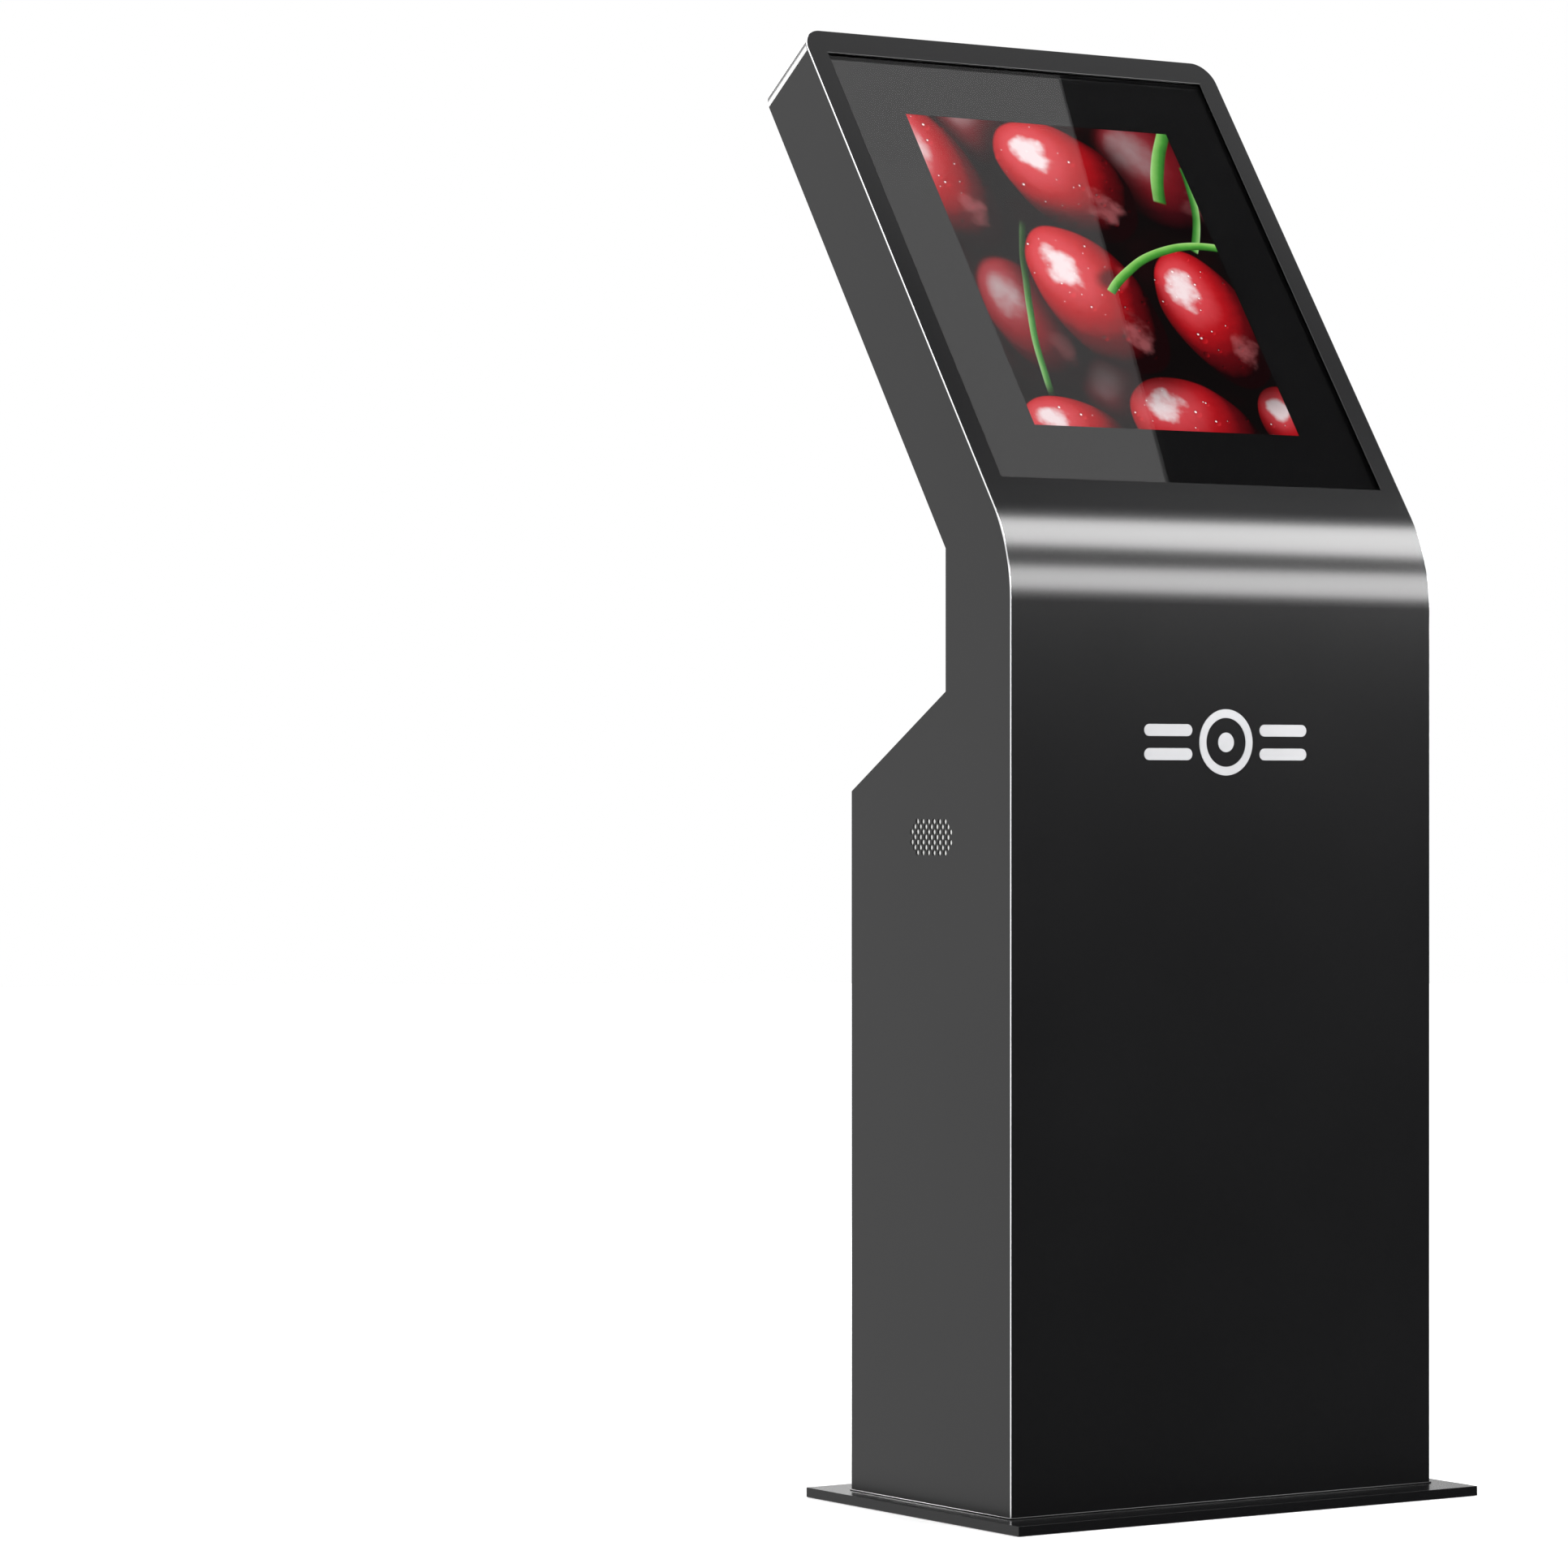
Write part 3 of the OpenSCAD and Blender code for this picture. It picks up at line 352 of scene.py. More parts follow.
# %% Shader sums
class Term:
    """A socket that can be added and multiplied, as numbers are."""

    def __init__(self, finish, socket):
        self.finish, self.socket = finish, socket

    def sum(self, operation, *terms):
        return self.finish.node("ShaderNodeMath", {"operation": operation}, *terms)

    def __add__(self, other):
        return self.sum("ADD", self, other)

    def __radd__(self, other):
        return self.sum("ADD", other, self)

    def __sub__(self, other):
        return self.sum("SUBTRACT", self, other)

    def __rsub__(self, other):
        return self.sum("SUBTRACT", other, self)

    def __mul__(self, other):
        return self.sum("MULTIPLY", self, other)

    def __rmul__(self, other):
        return self.sum("MULTIPLY", other, self)

    def __pow__(self, other):
        return self.sum("POWER", self, other)

    def soft_step(self, low, high):
        """0 below low and 1 above high, or the other way round, with a smooth turn between."""
        return self.finish.node("ShaderNodeMapRange", {"interpolation_type": "SMOOTHSTEP"},
                                self, low, high)


class Finish:
    """A material with one Principled shader; fixed values are set on its own sockets."""

    def __init__(self, name, **fixed):
        self.material = bpy.data.materials.new(name)
        self.material.use_nodes = True
        self.tree = self.material.node_tree
        self.shader = self.tree.nodes["Principled BSDF"]
        for key, value in fixed.items():
            socket = self.shader.inputs[key.replace("_", " ").title().replace("Ior", "IOR")]
            socket.default_value = (*value, 1) if isinstance(value, tuple) else value

    def node(self, kind, settings=None, *values, out=0, **named):
        made = self.tree.nodes.new(kind)
        for key, value in (settings or {}).items():
            if key == "stops":
                ramp = made.color_ramp
                for i, (place, colour) in enumerate(value):
                    stop = ramp.elements[i] if i < 2 else ramp.elements.new(place)
                    stop.position, stop.color = place, (*colour, 1)
            else:
                setattr(made, key, value)
        for key, value in [*enumerate(values), *named.items()]:
            socket = made.inputs[key]
            if isinstance(value, Term):
                self.tree.links.new(value.socket, socket)
            else:
                socket.default_value = value
        return Term(self, made.outputs[out])

    def place(self):
        """Where a point lies on the kiosk, in metres."""
        return self.node("ShaderNodeTexCoord", out="Object")

    def noise(self, scale, detail=2.0, stretch=None):
        at = self.place()
        if stretch:
            at = self.node("ShaderNodeMapping", None, at, Scale=stretch)
        return self.node("ShaderNodeTexNoise", None, Vector=at, Scale=scale, Detail=detail)

    def blend(self, share, first, second):
        """Mixes two colours; share is 0 for the first and 1 for the second."""
        made = self.tree.nodes.new("ShaderNodeMix")
        made.data_type = "RGBA"
        sockets = (made.inputs[0], made.inputs[6], made.inputs[7])    # the factor and two colours
        for socket, value in zip(sockets, (share, first, second)):
            if isinstance(value, Term):
                self.tree.links.new(value.socket, socket)
            else:
                socket.default_value = (*value, 1) if isinstance(value, tuple) else value
        return Term(self, made.outputs[2])

    def feed(self, name, term):
        self.tree.links.new(term.socket, self.shader.inputs[name])

    def bump(self, height, deep, strength=1.0):
        """Raises the surface by height times deep, in metres."""
        self.feed("Normal", self.node("ShaderNodeBump", None, Height=height, Distance=deep,
                                      Strength=strength))


# %% [markdown]
# ### Powder coat and enamel
# The cabinet is sprayed with powder and baked. The skin flows out nearly flat but keeps a fine
# orange peel about a millimetre and a half across, which grains the edges of its highlights.
# Fine noise gives the peel as bump, and a slow noise shifts the gloss from place to place.


# %% Powder coat and enamel
def powder_coat(name, dark, light, rough, peel=0.000004, gloss=1.5):
    finish = Finish(name, ior=gloss)
    slow = finish.noise(5, 2)
    fine = finish.noise(650, 2)
    finish.feed("Base Color", finish.blend(slow, dark, light))
    finish.feed("Roughness", rough - 0.01 + 0.02 * slow + 0.03 * (fine - 0.5))
    finish.bump(fine + 0.4 * finish.noise(1700, 1), peel)
    return finish.material


face_coat = powder_coat("face_powder_coat", (0.0030, 0.0030, 0.0032), (0.005, 0.005, 0.0053), 0.205)
cabinet_coat = powder_coat("cabinet_powder_coat", (0.0045, 0.0045, 0.0047), (0.007, 0.007, 0.0073),
                           0.33, gloss=1.43)
base_coat = powder_coat("base_coat", (0.003, 0.003, 0.0033), (0.0045, 0.0045, 0.0048),
                        0.22, 0.000002, 1.35)
print("coats", face_coat.name, cabinet_coat.name, base_coat.name)

# %% [markdown]
# ### Metals
# Rolled, plated and turned metal differ in how their marks run. Noise stretched along one axis
# gives rolling marks, a cell pattern gives the spangle of hot zinc, and both vary the roughness
# more than the colour, as the eye sees metal by its reflections.


# %% Metals
def rolled_metal(name, colour, rough, stretch=(3, 240, 240), marks=0.12):
    finish = Finish(name, metallic=1.0)
    lines = finish.noise(6, 4, stretch)
    cloud = finish.noise(25, 3)
    finish.feed("Base Color", finish.blend(cloud, colour, tuple(c * 0.82 for c in colour)))
    finish.feed("Roughness", rough + marks * (lines - 0.5) + 0.08 * (cloud - 0.5))
    finish.bump(lines, 0.000008)
    return finish.material


def zinc_sheet():
    finish = Finish("zinc_steel", metallic=1.0)
    cells = finish.node("ShaderNodeTexVoronoi", None, Vector=finish.place(), Scale=90.0, out="Color")
    grey = finish.node("ShaderNodeRGBToBW", None, cells)
    finish.feed("Base Color", finish.blend(grey, (0.42, 0.44, 0.46), (0.58, 0.60, 0.62)))
    finish.feed("Roughness", 0.34 + 0.16 * grey)
    finish.bump(finish.noise(300, 2), 0.00001)
    return finish.material


zinc = zinc_sheet()
plated = rolled_metal("plated_fastener", (0.62, 0.63, 0.65), 0.26, (120, 120, 120), 0.10)
bright = rolled_metal("bright_metal", (0.80, 0.80, 0.81), 0.16, (200, 8, 200), 0.08)
# This bright metal is a painted highlight: it stands for the light that the rounded edge of the black
# paint catches.
edge_highlight_metal = rolled_metal("painted_edge_highlight", (0.93, 0.93, 0.94), 0.22, (200, 30, 30), 0.08)
brass = rolled_metal("brass", (0.78, 0.58, 0.27), 0.25, (150, 150, 150), 0.10)
print("metals", [m.name for m in (zinc, plated, bright, edge_highlight_metal, brass)])

# %% [markdown]
# ### Plastics, rubber and board
# Moulded parts carry the fine grain of a spark-eroded mould, and rubber has a coarser one and no
# shine. One function makes them all, from noise that drives both roughness and bump. On the
# circuit board a brick pattern stands for the tracks under the green mask.


# %% Plastics, rubber and board
def moulded(name, colour, rough, grain=900.0, deep=0.00002):
    finish = Finish(name, ior=1.46)
    spark = finish.noise(grain, 2)
    finish.feed("Base Color", finish.blend(finish.noise(14, 2), colour, tuple(c * 0.8 for c in colour)))
    finish.feed("Roughness", rough + 0.12 * (spark - 0.5))
    finish.bump(spark, deep)
    return finish.material


def circuit_board():
    finish = Finish("circuit_board", ior=1.5)
    brick = finish.node("ShaderNodeTexBrick", None, Vector=finish.place(), Scale=160.0, out="Fac",
                        **{"Mortar Size": 0.012})
    finish.feed("Base Color", finish.blend(brick, (0.010, 0.07, 0.03), (0.03, 0.16, 0.07)))
    finish.feed("Roughness", 0.3 + 0.15 * finish.noise(60, 2))
    return finish.material


black_plastic = moulded("black_plastic", (0.012, 0.012, 0.013), 0.42)
red_plastic = moulded("red_plastic", (0.42, 0.015, 0.012), 0.25, 1500.0, 0.000006)
grey_plastic = moulded("grey_plastic", (0.24, 0.25, 0.26), 0.5)
rubber = moulded("black_rubber", (0.010, 0.010, 0.010), 0.72, 500.0, 0.00005)
anodised = rolled_metal("black_anodised", (0.03, 0.03, 0.033), 0.42, (4, 200, 200), 0.12)
board_green = circuit_board()
badge_paint = moulded("emblem_white", (0.385, 0.385, 0.395), 0.4, 1200.0, 0.000004)
print("plastics", [m.name for m in (black_plastic, red_plastic, grey_plastic, rubber, badge_paint)])

# %% [markdown]
# ### Glass and its border
# The touch glass is clear, so its colour is what lies behind it: a printed black border, and
# the picture in the middle. Its coating against glare mirrors little, which a low index stands
# for. The border is glossy ink, and mirrors as plain glass does, so the light that lies over
# the border is stronger than over the picture.

# %% Glass and its border
clear = Finish("touch_glass", transmission_weight=1.0, ior=1.2, base_color=(0.98, 0.98, 0.98))
clear.feed("Roughness", 0.01 * clear.noise(40, 2))
touch_glass = clear.material
border_ink = Finish("glass_border", roughness=0.015, ior=1.5)
specks = border_ink.noise(200, 2)
border_tone = border_ink.blend(specks, (0.0015, 0.0015, 0.0015), (0.0025, 0.0025, 0.0025))
border_ink.feed("Base Color", border_tone)
border_black = border_ink.material
print("glass", touch_glass.name, border_black.name)

# %% [markdown]
# ### The picture on the screen
# The screen shows a close view of wet red fruit. Each fruit is a leaning oval shaded as a ball:
# its height follows from how far a point lies from its middle, and dot products with a light
# and with a window give its shade and its highlights. Small discs make the drops. The fruits
# are laid over each other from the back to the front, and arcs of green make the stalks.


# %% The picture's parts
class Picture(Finish):
    """A lit picture, painted in layers; places on it are in shares of its width."""

    LIGHT = Vector((-0.38, 0.52, 0.77))
    WINDOW = Vector((-0.36, 0.42, 0.83))
    SPARK = Vector((0.42, -0.40, 0.81))

    def __init__(self, name):
        super().__init__(name, roughness=0.4, base_color=(0.0, 0.0, 0.0), emission_strength=1.12,
                         specular_ior_level=0.0)
        uv = self.node("ShaderNodeUVMap", {"uv_map": "UVMap"})
        self.at = self.vector("MULTIPLY", uv, (1.0, PICTURE_H / PICTURE_W, 0.0))
        wobble = self.vector("SUBTRACT", self.spots(3.2, 1.0, "Color"), (0.5, 0.5, 0.5))
        self.wobble = self.vector("MULTIPLY", wobble, (0.22, 0.22, 0.0))
        self.grain = self.spots(34.0) - 0.5
        self.patchy = self.spots(13.0) - 0.5
        self.water()
        self.colour = self.ramp(self.spots(2.6), [
            (0.45, (0.002, 0.001, 0.001)), (0.7, (0.035, 0.002, 0.003)), (0.85, (0.10, 0.004, 0.006))])

    def spots(self, scale, detail=3.0, out=0):
        return self.node("ShaderNodeTexNoise", None, Vector=self.at, Scale=scale, Detail=detail,
                         out=out)

    def ramp(self, share, stops):
        return self.node("ShaderNodeValToRGB", {"stops": stops}, share)

    def vector(self, operation, *terms, out=0):
        return self.node("ShaderNodeVectorMath", {"operation": operation}, *terms, out=out)

    def water(self):
        """Droplets: small discs at random places, dark on one side and bright on the other."""
        place = self.node("ShaderNodeTexVoronoi", None, Vector=self.at, Scale=14.0, out="Position")
        cell = place.socket.node.outputs["Color"]
        luck = self.node("ShaderNodeSeparateColor", None, Term(self, cell), out="Red")
        size = 0.004 + 0.013 * luck * luck
        one = self.node("ShaderNodeCombineXYZ", None, size, size, 1.0)
        unit = self.vector("DIVIDE", self.vector("SUBTRACT", self.at, place), one)
        inside = self.vector("LENGTH", unit, out="Value").soft_step(1.0, 0.8)
        inside = inside * luck.soft_step(0.30, 0.36)
        self.drop_shade = inside * self.vector("DOT_PRODUCT", unit, (0.16, -0.20, 0.0), out="Value")
        glint = self.vector("DISTANCE", unit, (-0.34, 0.38, 0.0), out="Value").soft_step(0.34, 0.16)
        self.drop_glint = glint * inside

    def fruit(self, x, y, wide, long, lean, bright=1.0, blur=0.0):
        """A fruit round x, y: its half width and half length, its lean in degrees, its light."""
        turn = math.radians(lean)
        aim = Matrix.Rotation(-turn, 3, "Z")
        unit = self.node("ShaderNodeMapping", {"vector_type": "TEXTURE"}, self.at, Location=(x, y, 0.0),
                         Rotation=(0.0, 0.0, turn), Scale=(wide, long, 1.0))
        unit = self.vector("ADD", unit, self.wobble)
        far = self.vector("LENGTH", unit, out="Value")
        left_over = 1.0 - far * far
        rise = left_over.sum("MAXIMUM", left_over, 0.0) ** 0.5
        ball = self.vector("ADD", unit, self.node("ShaderNodeCombineXYZ", None, 0.0, 0.0, rise))
        sharp = 1.0 if blur < 0.05 else 0.0
        shade = self.vector("DOT_PRODUCT", ball, tuple(aim @ self.LIGHT), out="Value")
        shade = shade + 0.13 * self.grain + sharp * self.drop_shade
        skin = self.ramp(shade, [
            (0.0, (0.006 * bright, 0.0, 0.0004)), (0.36, (0.10 * bright, 0.001, 0.003)),
            (0.68, (0.40 * bright, 0.005, 0.009)), (0.95, (0.66 * bright, 0.022, 0.030))])
        window = self.vector("DOT_PRODUCT", ball, tuple(aim @ self.WINDOW), out="Value")
        haze = (window + 0.10 * self.patchy).soft_step(0.74, 1.0) * 0.26
        window = (window + 0.17 * self.patchy).soft_step(0.925 - blur, 0.992 + blur / 2)
        window = window * (0.85 - 3 * blur)
        spark = self.vector("DOT_PRODUCT", ball, tuple(aim @ self.SPARK), out="Value")
        spark = (spark + 0.18 * self.patchy).soft_step(0.94, 1.01) * 0.24
        skin = self.blend(haze, skin, (0.78 * bright, 0.20 * bright, 0.23 * bright))
        skin = self.blend(spark, skin, (0.86 * bright, 0.26 * bright, 0.28 * bright))
        skin = self.blend(window, skin, (0.97 * bright, 0.88 * bright, 0.90 * bright))
        skin = self.blend(sharp * self.drop_glint * shade.soft_step(0.25, 0.6), skin, (1.0, 0.85, 0.85))
        self.colour = self.blend(far.soft_step(1.55, 0.9) * 0.9, self.colour, (0.002, 0.001, 0.001))
        self.colour = self.blend(far.soft_step(1.0 + blur, 0.965 - blur), self.colour, skin)

    def hollow(self, x, y, wide, long, lean):
        """The dent where a stalk goes in: a dark dish with one lit side."""
        turn = math.radians(lean)
        unit = self.node("ShaderNodeMapping", {"vector_type": "TEXTURE"}, self.at, Location=(x, y, 0.0),
                         Rotation=(0.0, 0.0, turn), Scale=(wide, long, 1.0))
        far = self.vector("LENGTH", unit, out="Value")
        side = self.vector("DOT_PRODUCT", unit, (0.6, -0.5, 0.0), out="Value").soft_step(0.1, 0.7)
        self.colour = self.blend(far.soft_step(1.1, 0.35) * 0.85, self.colour, (0.05, 0.002, 0.003))
        self.colour = self.blend(far.soft_step(1.15, 0.8) * side * 0.5, self.colour, (0.60, 0.05, 0.06))

    def stalk(self, x, y, r, first, last, thick=0.014, bright=1.0):
        """A stalk: an arc round x, y from the first to the last angle, in degrees."""
        middle = math.radians((first + last) / 2)
        spread = math.radians(abs(last - first) / 2)
        aim = (math.cos(middle), math.sin(middle), 0.0)
        out = self.vector("SUBTRACT", self.at, (x, y, 0.0))
        out = self.vector("ADD", out, self.vector("MULTIPLY", self.wobble, (0.12, 0.12, 0.0)))
        length = self.vector("LENGTH", out, out="Value")
        along = self.vector("DOT_PRODUCT", self.vector("NORMALIZE", out), aim, out="Value")
        off = (length - r) * (1 / thick)
        within = along.soft_step(math.cos(spread), math.cos(spread) + 0.004)
        mask = (off * off).soft_step(1.15, 0.8) * within
        tone = 0.5 + 0.34 * off + 0.25 * self.patchy
        green = self.ramp(tone, [
            (0.1, (0.01 * bright, 0.05 * bright, 0.006)), (0.45, (0.06 * bright, 0.30 * bright, 0.035)),
            (0.75, (0.26 * bright, 0.58 * bright, 0.13)), (0.95, (0.55 * bright, 0.78 * bright, 0.38))])
        self.colour = self.blend(mask, self.colour, green)

    def finish(self):
        self.feed("Emission Color", self.colour)
        return self.material


# %% Paint the picture, from the back to the front
fruits = Picture("display_picture")          # a fruit: middle, half sizes, lean, light, blur
fruits.fruit(0.88, 1.02, 0.20, 0.26, 30, 0.35, 0.10)
fruits.fruit(0.27, 1.18, 0.15, 0.18, 10, 0.40, 0.10)
fruits.fruit(0.40, 0.14, 0.16, 0.15, 0, 0.25, 0.10)
fruits.fruit(0.05, 0.97, 0.155, 0.29, 14, 0.9, 0.04)
fruits.stalk(1.55, 0.77, 0.72, 141, 168, 0.024, 0.9)
fruits.fruit(0.17, 0.42, 0.15, 0.25, 14, 0.5, 0.05)
fruits.stalk(2.4, -0.05, 2.283, 157.6, 175.8, 0.012, 0.75)
fruits.fruit(1.00, 0.06, 0.13, 0.15, 20, 0.8)
fruits.fruit(0.86, 0.46, 0.17, 0.27, 14, 0.95)
fruits.stalk(0.30, 1.08, 0.696, -31, 0, 0.014, 0.8)
fruits.fruit(0.16, -0.02, 0.20, 0.15, -14, 0.9)
fruits.fruit(0.62, 0.02, 0.24, 0.20, -24, 0.85)
fruits.fruit(0.52, 0.99, 0.205, 0.27, 40)
fruits.fruit(0.445, 0.515, 0.205, 0.305, 18)
fruits.hollow(0.53, 0.60, 0.075, 0.05, 30)
fruits.stalk(0.95, 0.165, 0.585, 80, 139, 0.015)
picture = fruits.finish()
print("picture nodes", len(picture.node_tree.nodes))

# %% [markdown]
# ## Every CAD piece gets its finish
# The record names a slot for each node, so one table carries the finishes over. Pieces that are
# remodelled below are hidden later; the rest keep the mesh that they have.

# %% Finishes by slot
finishes = {
    "face_powder_coat": face_coat, "cabinet_powder_coat": cabinet_coat, "base_coat": base_coat,
    "zinc_steel": zinc, "plated_fastener": plated, "bright_metal": bright, "black_rubber": rubber,
    "touch_glass": touch_glass, "glass_border": border_black, "display_picture": picture,
    "circuit_board": board_green, "brass": brass, "black_plastic": black_plastic,
    "red_plastic": red_plastic, "grey_plastic": grey_plastic, "black_anodised": anodised,
    "emblem_white": badge_paint,
}
slot_of = {part["node"]: part["material_slot"] for part in frame["record"]["subparts"]}
bodies = frame["record"]["behaviour"]["bodies"]
body_of = {name: body for body, names in bodies.items() for name in names}
for name, piece in nodes.items():
    for place in piece.material_slots:
        place.material = finishes[slot_of[name]]
    if not piece.material_slots:
        piece.data.materials.append(finishes[slot_of[name]])
print("finished", len(nodes), "CAD pieces")

# %% [markdown]
# ## Tools for modelling
# A few helpers stand for what a hand does in edit mode: pick faces or edges by their place,
# run an operator on them, and finish with a modifier that is then applied.


# %% Modelling helpers
SAME_SPOT = 0.002 * MM                       # corners closer than this are one corner
FLAT_WITHIN = math.radians(0.4)              # faces that lean less than this are one face
SHARP_OVER = math.radians(35)                # edges that turn more than this are bevelled
SMOOTH_WITHIN = math.radians(46)             # edges that turn less than this are shaded round


def only(piece):
    """Selects one piece and nothing else."""
    if bpy.context.object and bpy.context.object.mode == "EDIT":
        bpy.ops.object.mode_set(mode="OBJECT")
    bpy.ops.object.select_all(action="DESELECT")
    piece.select_set(True)
    bpy.context.view_layer.objects.active = piece


def edit(piece, kind="FACE"):
    only(piece)
    bpy.ops.object.mode_set(mode="EDIT")
    bpy.ops.mesh.select_mode(type=kind)


def pick(piece, test, kind="FACE"):
    """Selects the faces, edges or corners that pass a test of their middle (and face normal)."""
    bpy.ops.mesh.select_mode(type=kind)
    bpy.ops.mesh.select_all(action="DESELECT")
    mesh = bmesh.from_edit_mesh(piece.data)
    if kind == "FACE":
        for face in mesh.faces:
            face.select_set(test(face.calc_center_median(), face.normal))
    elif kind == "EDGE":
        for edge in mesh.edges:
            edge.select_set(test((edge.verts[0].co + edge.verts[1].co) / 2))
    else:
        for corner in mesh.verts:
            corner.select_set(test(corner.co))
    mesh.select_flush_mode()
    bmesh.update_edit_mesh(piece.data)


def done():
    bpy.ops.object.mode_set(mode="OBJECT")


def modify(piece, kind, **settings):
    """Adds one modifier and applies it."""
    only(piece)
    made = piece.modifiers.new(kind.lower(), kind)
    for key, value in settings.items():
        setattr(made, key, value)
    bpy.ops.object.modifier_apply(modifier=made.name)


def round_edges(piece, width, segments=2):
    """Bevels the sharp edges, and keeps the flat faces shaded flat beside them."""
    modify(piece, "BEVEL", width=width, segments=segments, limit_method="ANGLE",
           angle_limit=SHARP_OVER)
    bpy.ops.object.shade_smooth_by_angle(angle=SMOOTH_WITHIN)
    modify(piece, "WEIGHTED_NORMAL", keep_sharp=True)


def stand_for(piece, node):
    """Puts a finished piece on the node's body, in its slot and in its place."""
    if not piece.data.materials:
        piece.data.materials.append(finishes[slot_of[node]])
    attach(piece, body_of[node])
    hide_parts(node)
    return piece


def polished_copy(node, width, segments=2, before=None):
    """A copy of a CAD piece with its triangles joined and every sharp edge rounded.

    What before does to the piece in edit mode is done ahead of the rounding.
    """
    piece = nodes[node].copy()
    piece.data = nodes[node].data.copy()
    piece.name = node + "_finished"
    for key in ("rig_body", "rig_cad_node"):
        if key in piece:
            del piece[key]
    piece.parent = None
    bpy.context.scene.collection.objects.link(piece)
    edit(piece, "VERT")
    bpy.ops.mesh.select_all(action="SELECT")
    bpy.ops.mesh.remove_doubles(threshold=SAME_SPOT)
    bpy.ops.mesh.dissolve_limited(angle_limit=FLAT_WITHIN)
    if before:
        before(piece)
    done()
    round_edges(piece, width, segments)
    return stand_for(piece, node)


# %% [markdown]
# ## The front plate
# One sheet makes the upright front, the bend and the face round the screen. It starts as a flat
# plane, and its top edge is spun round the bend and pushed up the slope. A sheet folded this way
# keeps the same edge from top to bottom, which pieces joined up wouldn't.

# %% Front plate: the flat sheet and its bend
BEND_STEPS = 28

bpy.ops.mesh.primitive_plane_add(size=1, location=(0, front_y, (floor_top + FRONT_H) / 2),
                                 rotation=(math.radians(90), 0, 0))
front = bpy.context.object
front.name = "front_plate"
front.scale = (body_w, FRONT_H - floor_top, 1)
only(front)
bpy.ops.object.transform_apply(location=True, rotation=True, scale=True)
edit(front, "VERT")
pick(front, lambda p: p.z > FRONT_H - MM, "VERT")
bpy.ops.mesh.spin(steps=BEND_STEPS, angle=TILT, center=(0, front_y + BEND_R, FRONT_H), axis=RIGHT)
for step in (LOW_MARGIN, window_h, TOP_MARGIN):
    bpy.ops.mesh.extrude_region_move(TRANSFORM_OT_translate={"value": up_face * step})
done()
print("folded sheet", len(front.data.polygons), "faces")

# %% [markdown]
# ### Window and corners
# Two cuts from end to end of the slope free the window, whose middle face is then deleted. Vertex
# bevels round the two top corners while the sheet is still thin. Solidify gives it its thickness
# last, so that the window and the corners get walls of their own.

# %% Front plate: window, corners and thickness
CORNER_STEPS = 14
PLATE_ROUND = 0.6 * MM

edit(front)
for hand in (-1, 1):
    pick(front, lambda p, n: p.z > bend_end.z)
    bpy.ops.mesh.bisect(plane_co=(hand * window_w / 2, 0, 0), plane_no=RIGHT)
pick(front, lambda p, n: (p - on_face(0, window_s)).length < 0.05)
bpy.ops.mesh.delete(type="FACE")
top = on_face(0, HEAD_L)
pick(front, lambda p: p.z > top.z - MM and abs(p.x) > body_w / 2 - MM, "VERT")
bpy.ops.mesh.bevel(offset=CORNER_R, segments=CORNER_STEPS, affect="VERTICES")
bpy.ops.mesh.select_all(action="SELECT")
bpy.ops.mesh.remove_doubles(threshold=SAME_SPOT)
bpy.ops.mesh.normals_make_consistent(inside=False)
done()
faces_front = sum(f.normal.y * f.area for f in front.data.polygons) < 0
print("front faces outwards", faces_front)
modify(front, "SOLIDIFY", thickness=SHEET, offset=-1 if faces_front else 1, use_even_offset=True)
round_edges(front, PLATE_ROUND)

# %% [markdown]
# ### The painted edge highlight
# The thin bright line on the sheet's rounded edge is a painted highlight. The faces that lie
# within a hair of the outline and look sideways or up the slope take the bright metal, in a
# second slot of the same mesh, so the plate stays one piece, and the metal mirrors the lights too.

# %% The painted highlight round the plate's edge
RIM = 0.65 * MM                              # how far in from its edge the plate takes the bright metal
EDGEWAYS = 0.3                               # a face that leans more than this lies on the edge

front.data.materials.append(face_coat)
front.data.materials.append(edge_highlight_metal)
# The bright metal given to these faces paints the highlight on the black sheet's edge.
for face in front.data.polygons:
    s = (face.center - bend_end).dot(up_face)
    inner = body_w / 2 - CORNER_R
    over = Vector((max(abs(face.center.x) - inner, 0), max(s - (HEAD_L - CORNER_R), 0)))
    at_rim = (abs(face.center.x) > body_w / 2 - RIM or s > HEAD_L - RIM
              or (min(over) > 0 and over.length > CORNER_R - RIM))
    edgeways = abs(face.normal.x) > EDGEWAYS or face.normal.dot(up_face) > EDGEWAYS
    face.material_index = 1 if at_rim and edgeways else 0
stand_for(front, "front_panel")
light_only("face_card", front)
print("front plate", len(front.data.polygons), "faces")

# %% [markdown]
# ## The folded and cut sheets
# Side panels, door, covers and plates are flat sheets with folded edges. Their CAD shapes are
# right; what the eye misses is the small radius that a cut edge has under its paint, because
# that is what catches the light. Each is copied, joined up and given that radius.

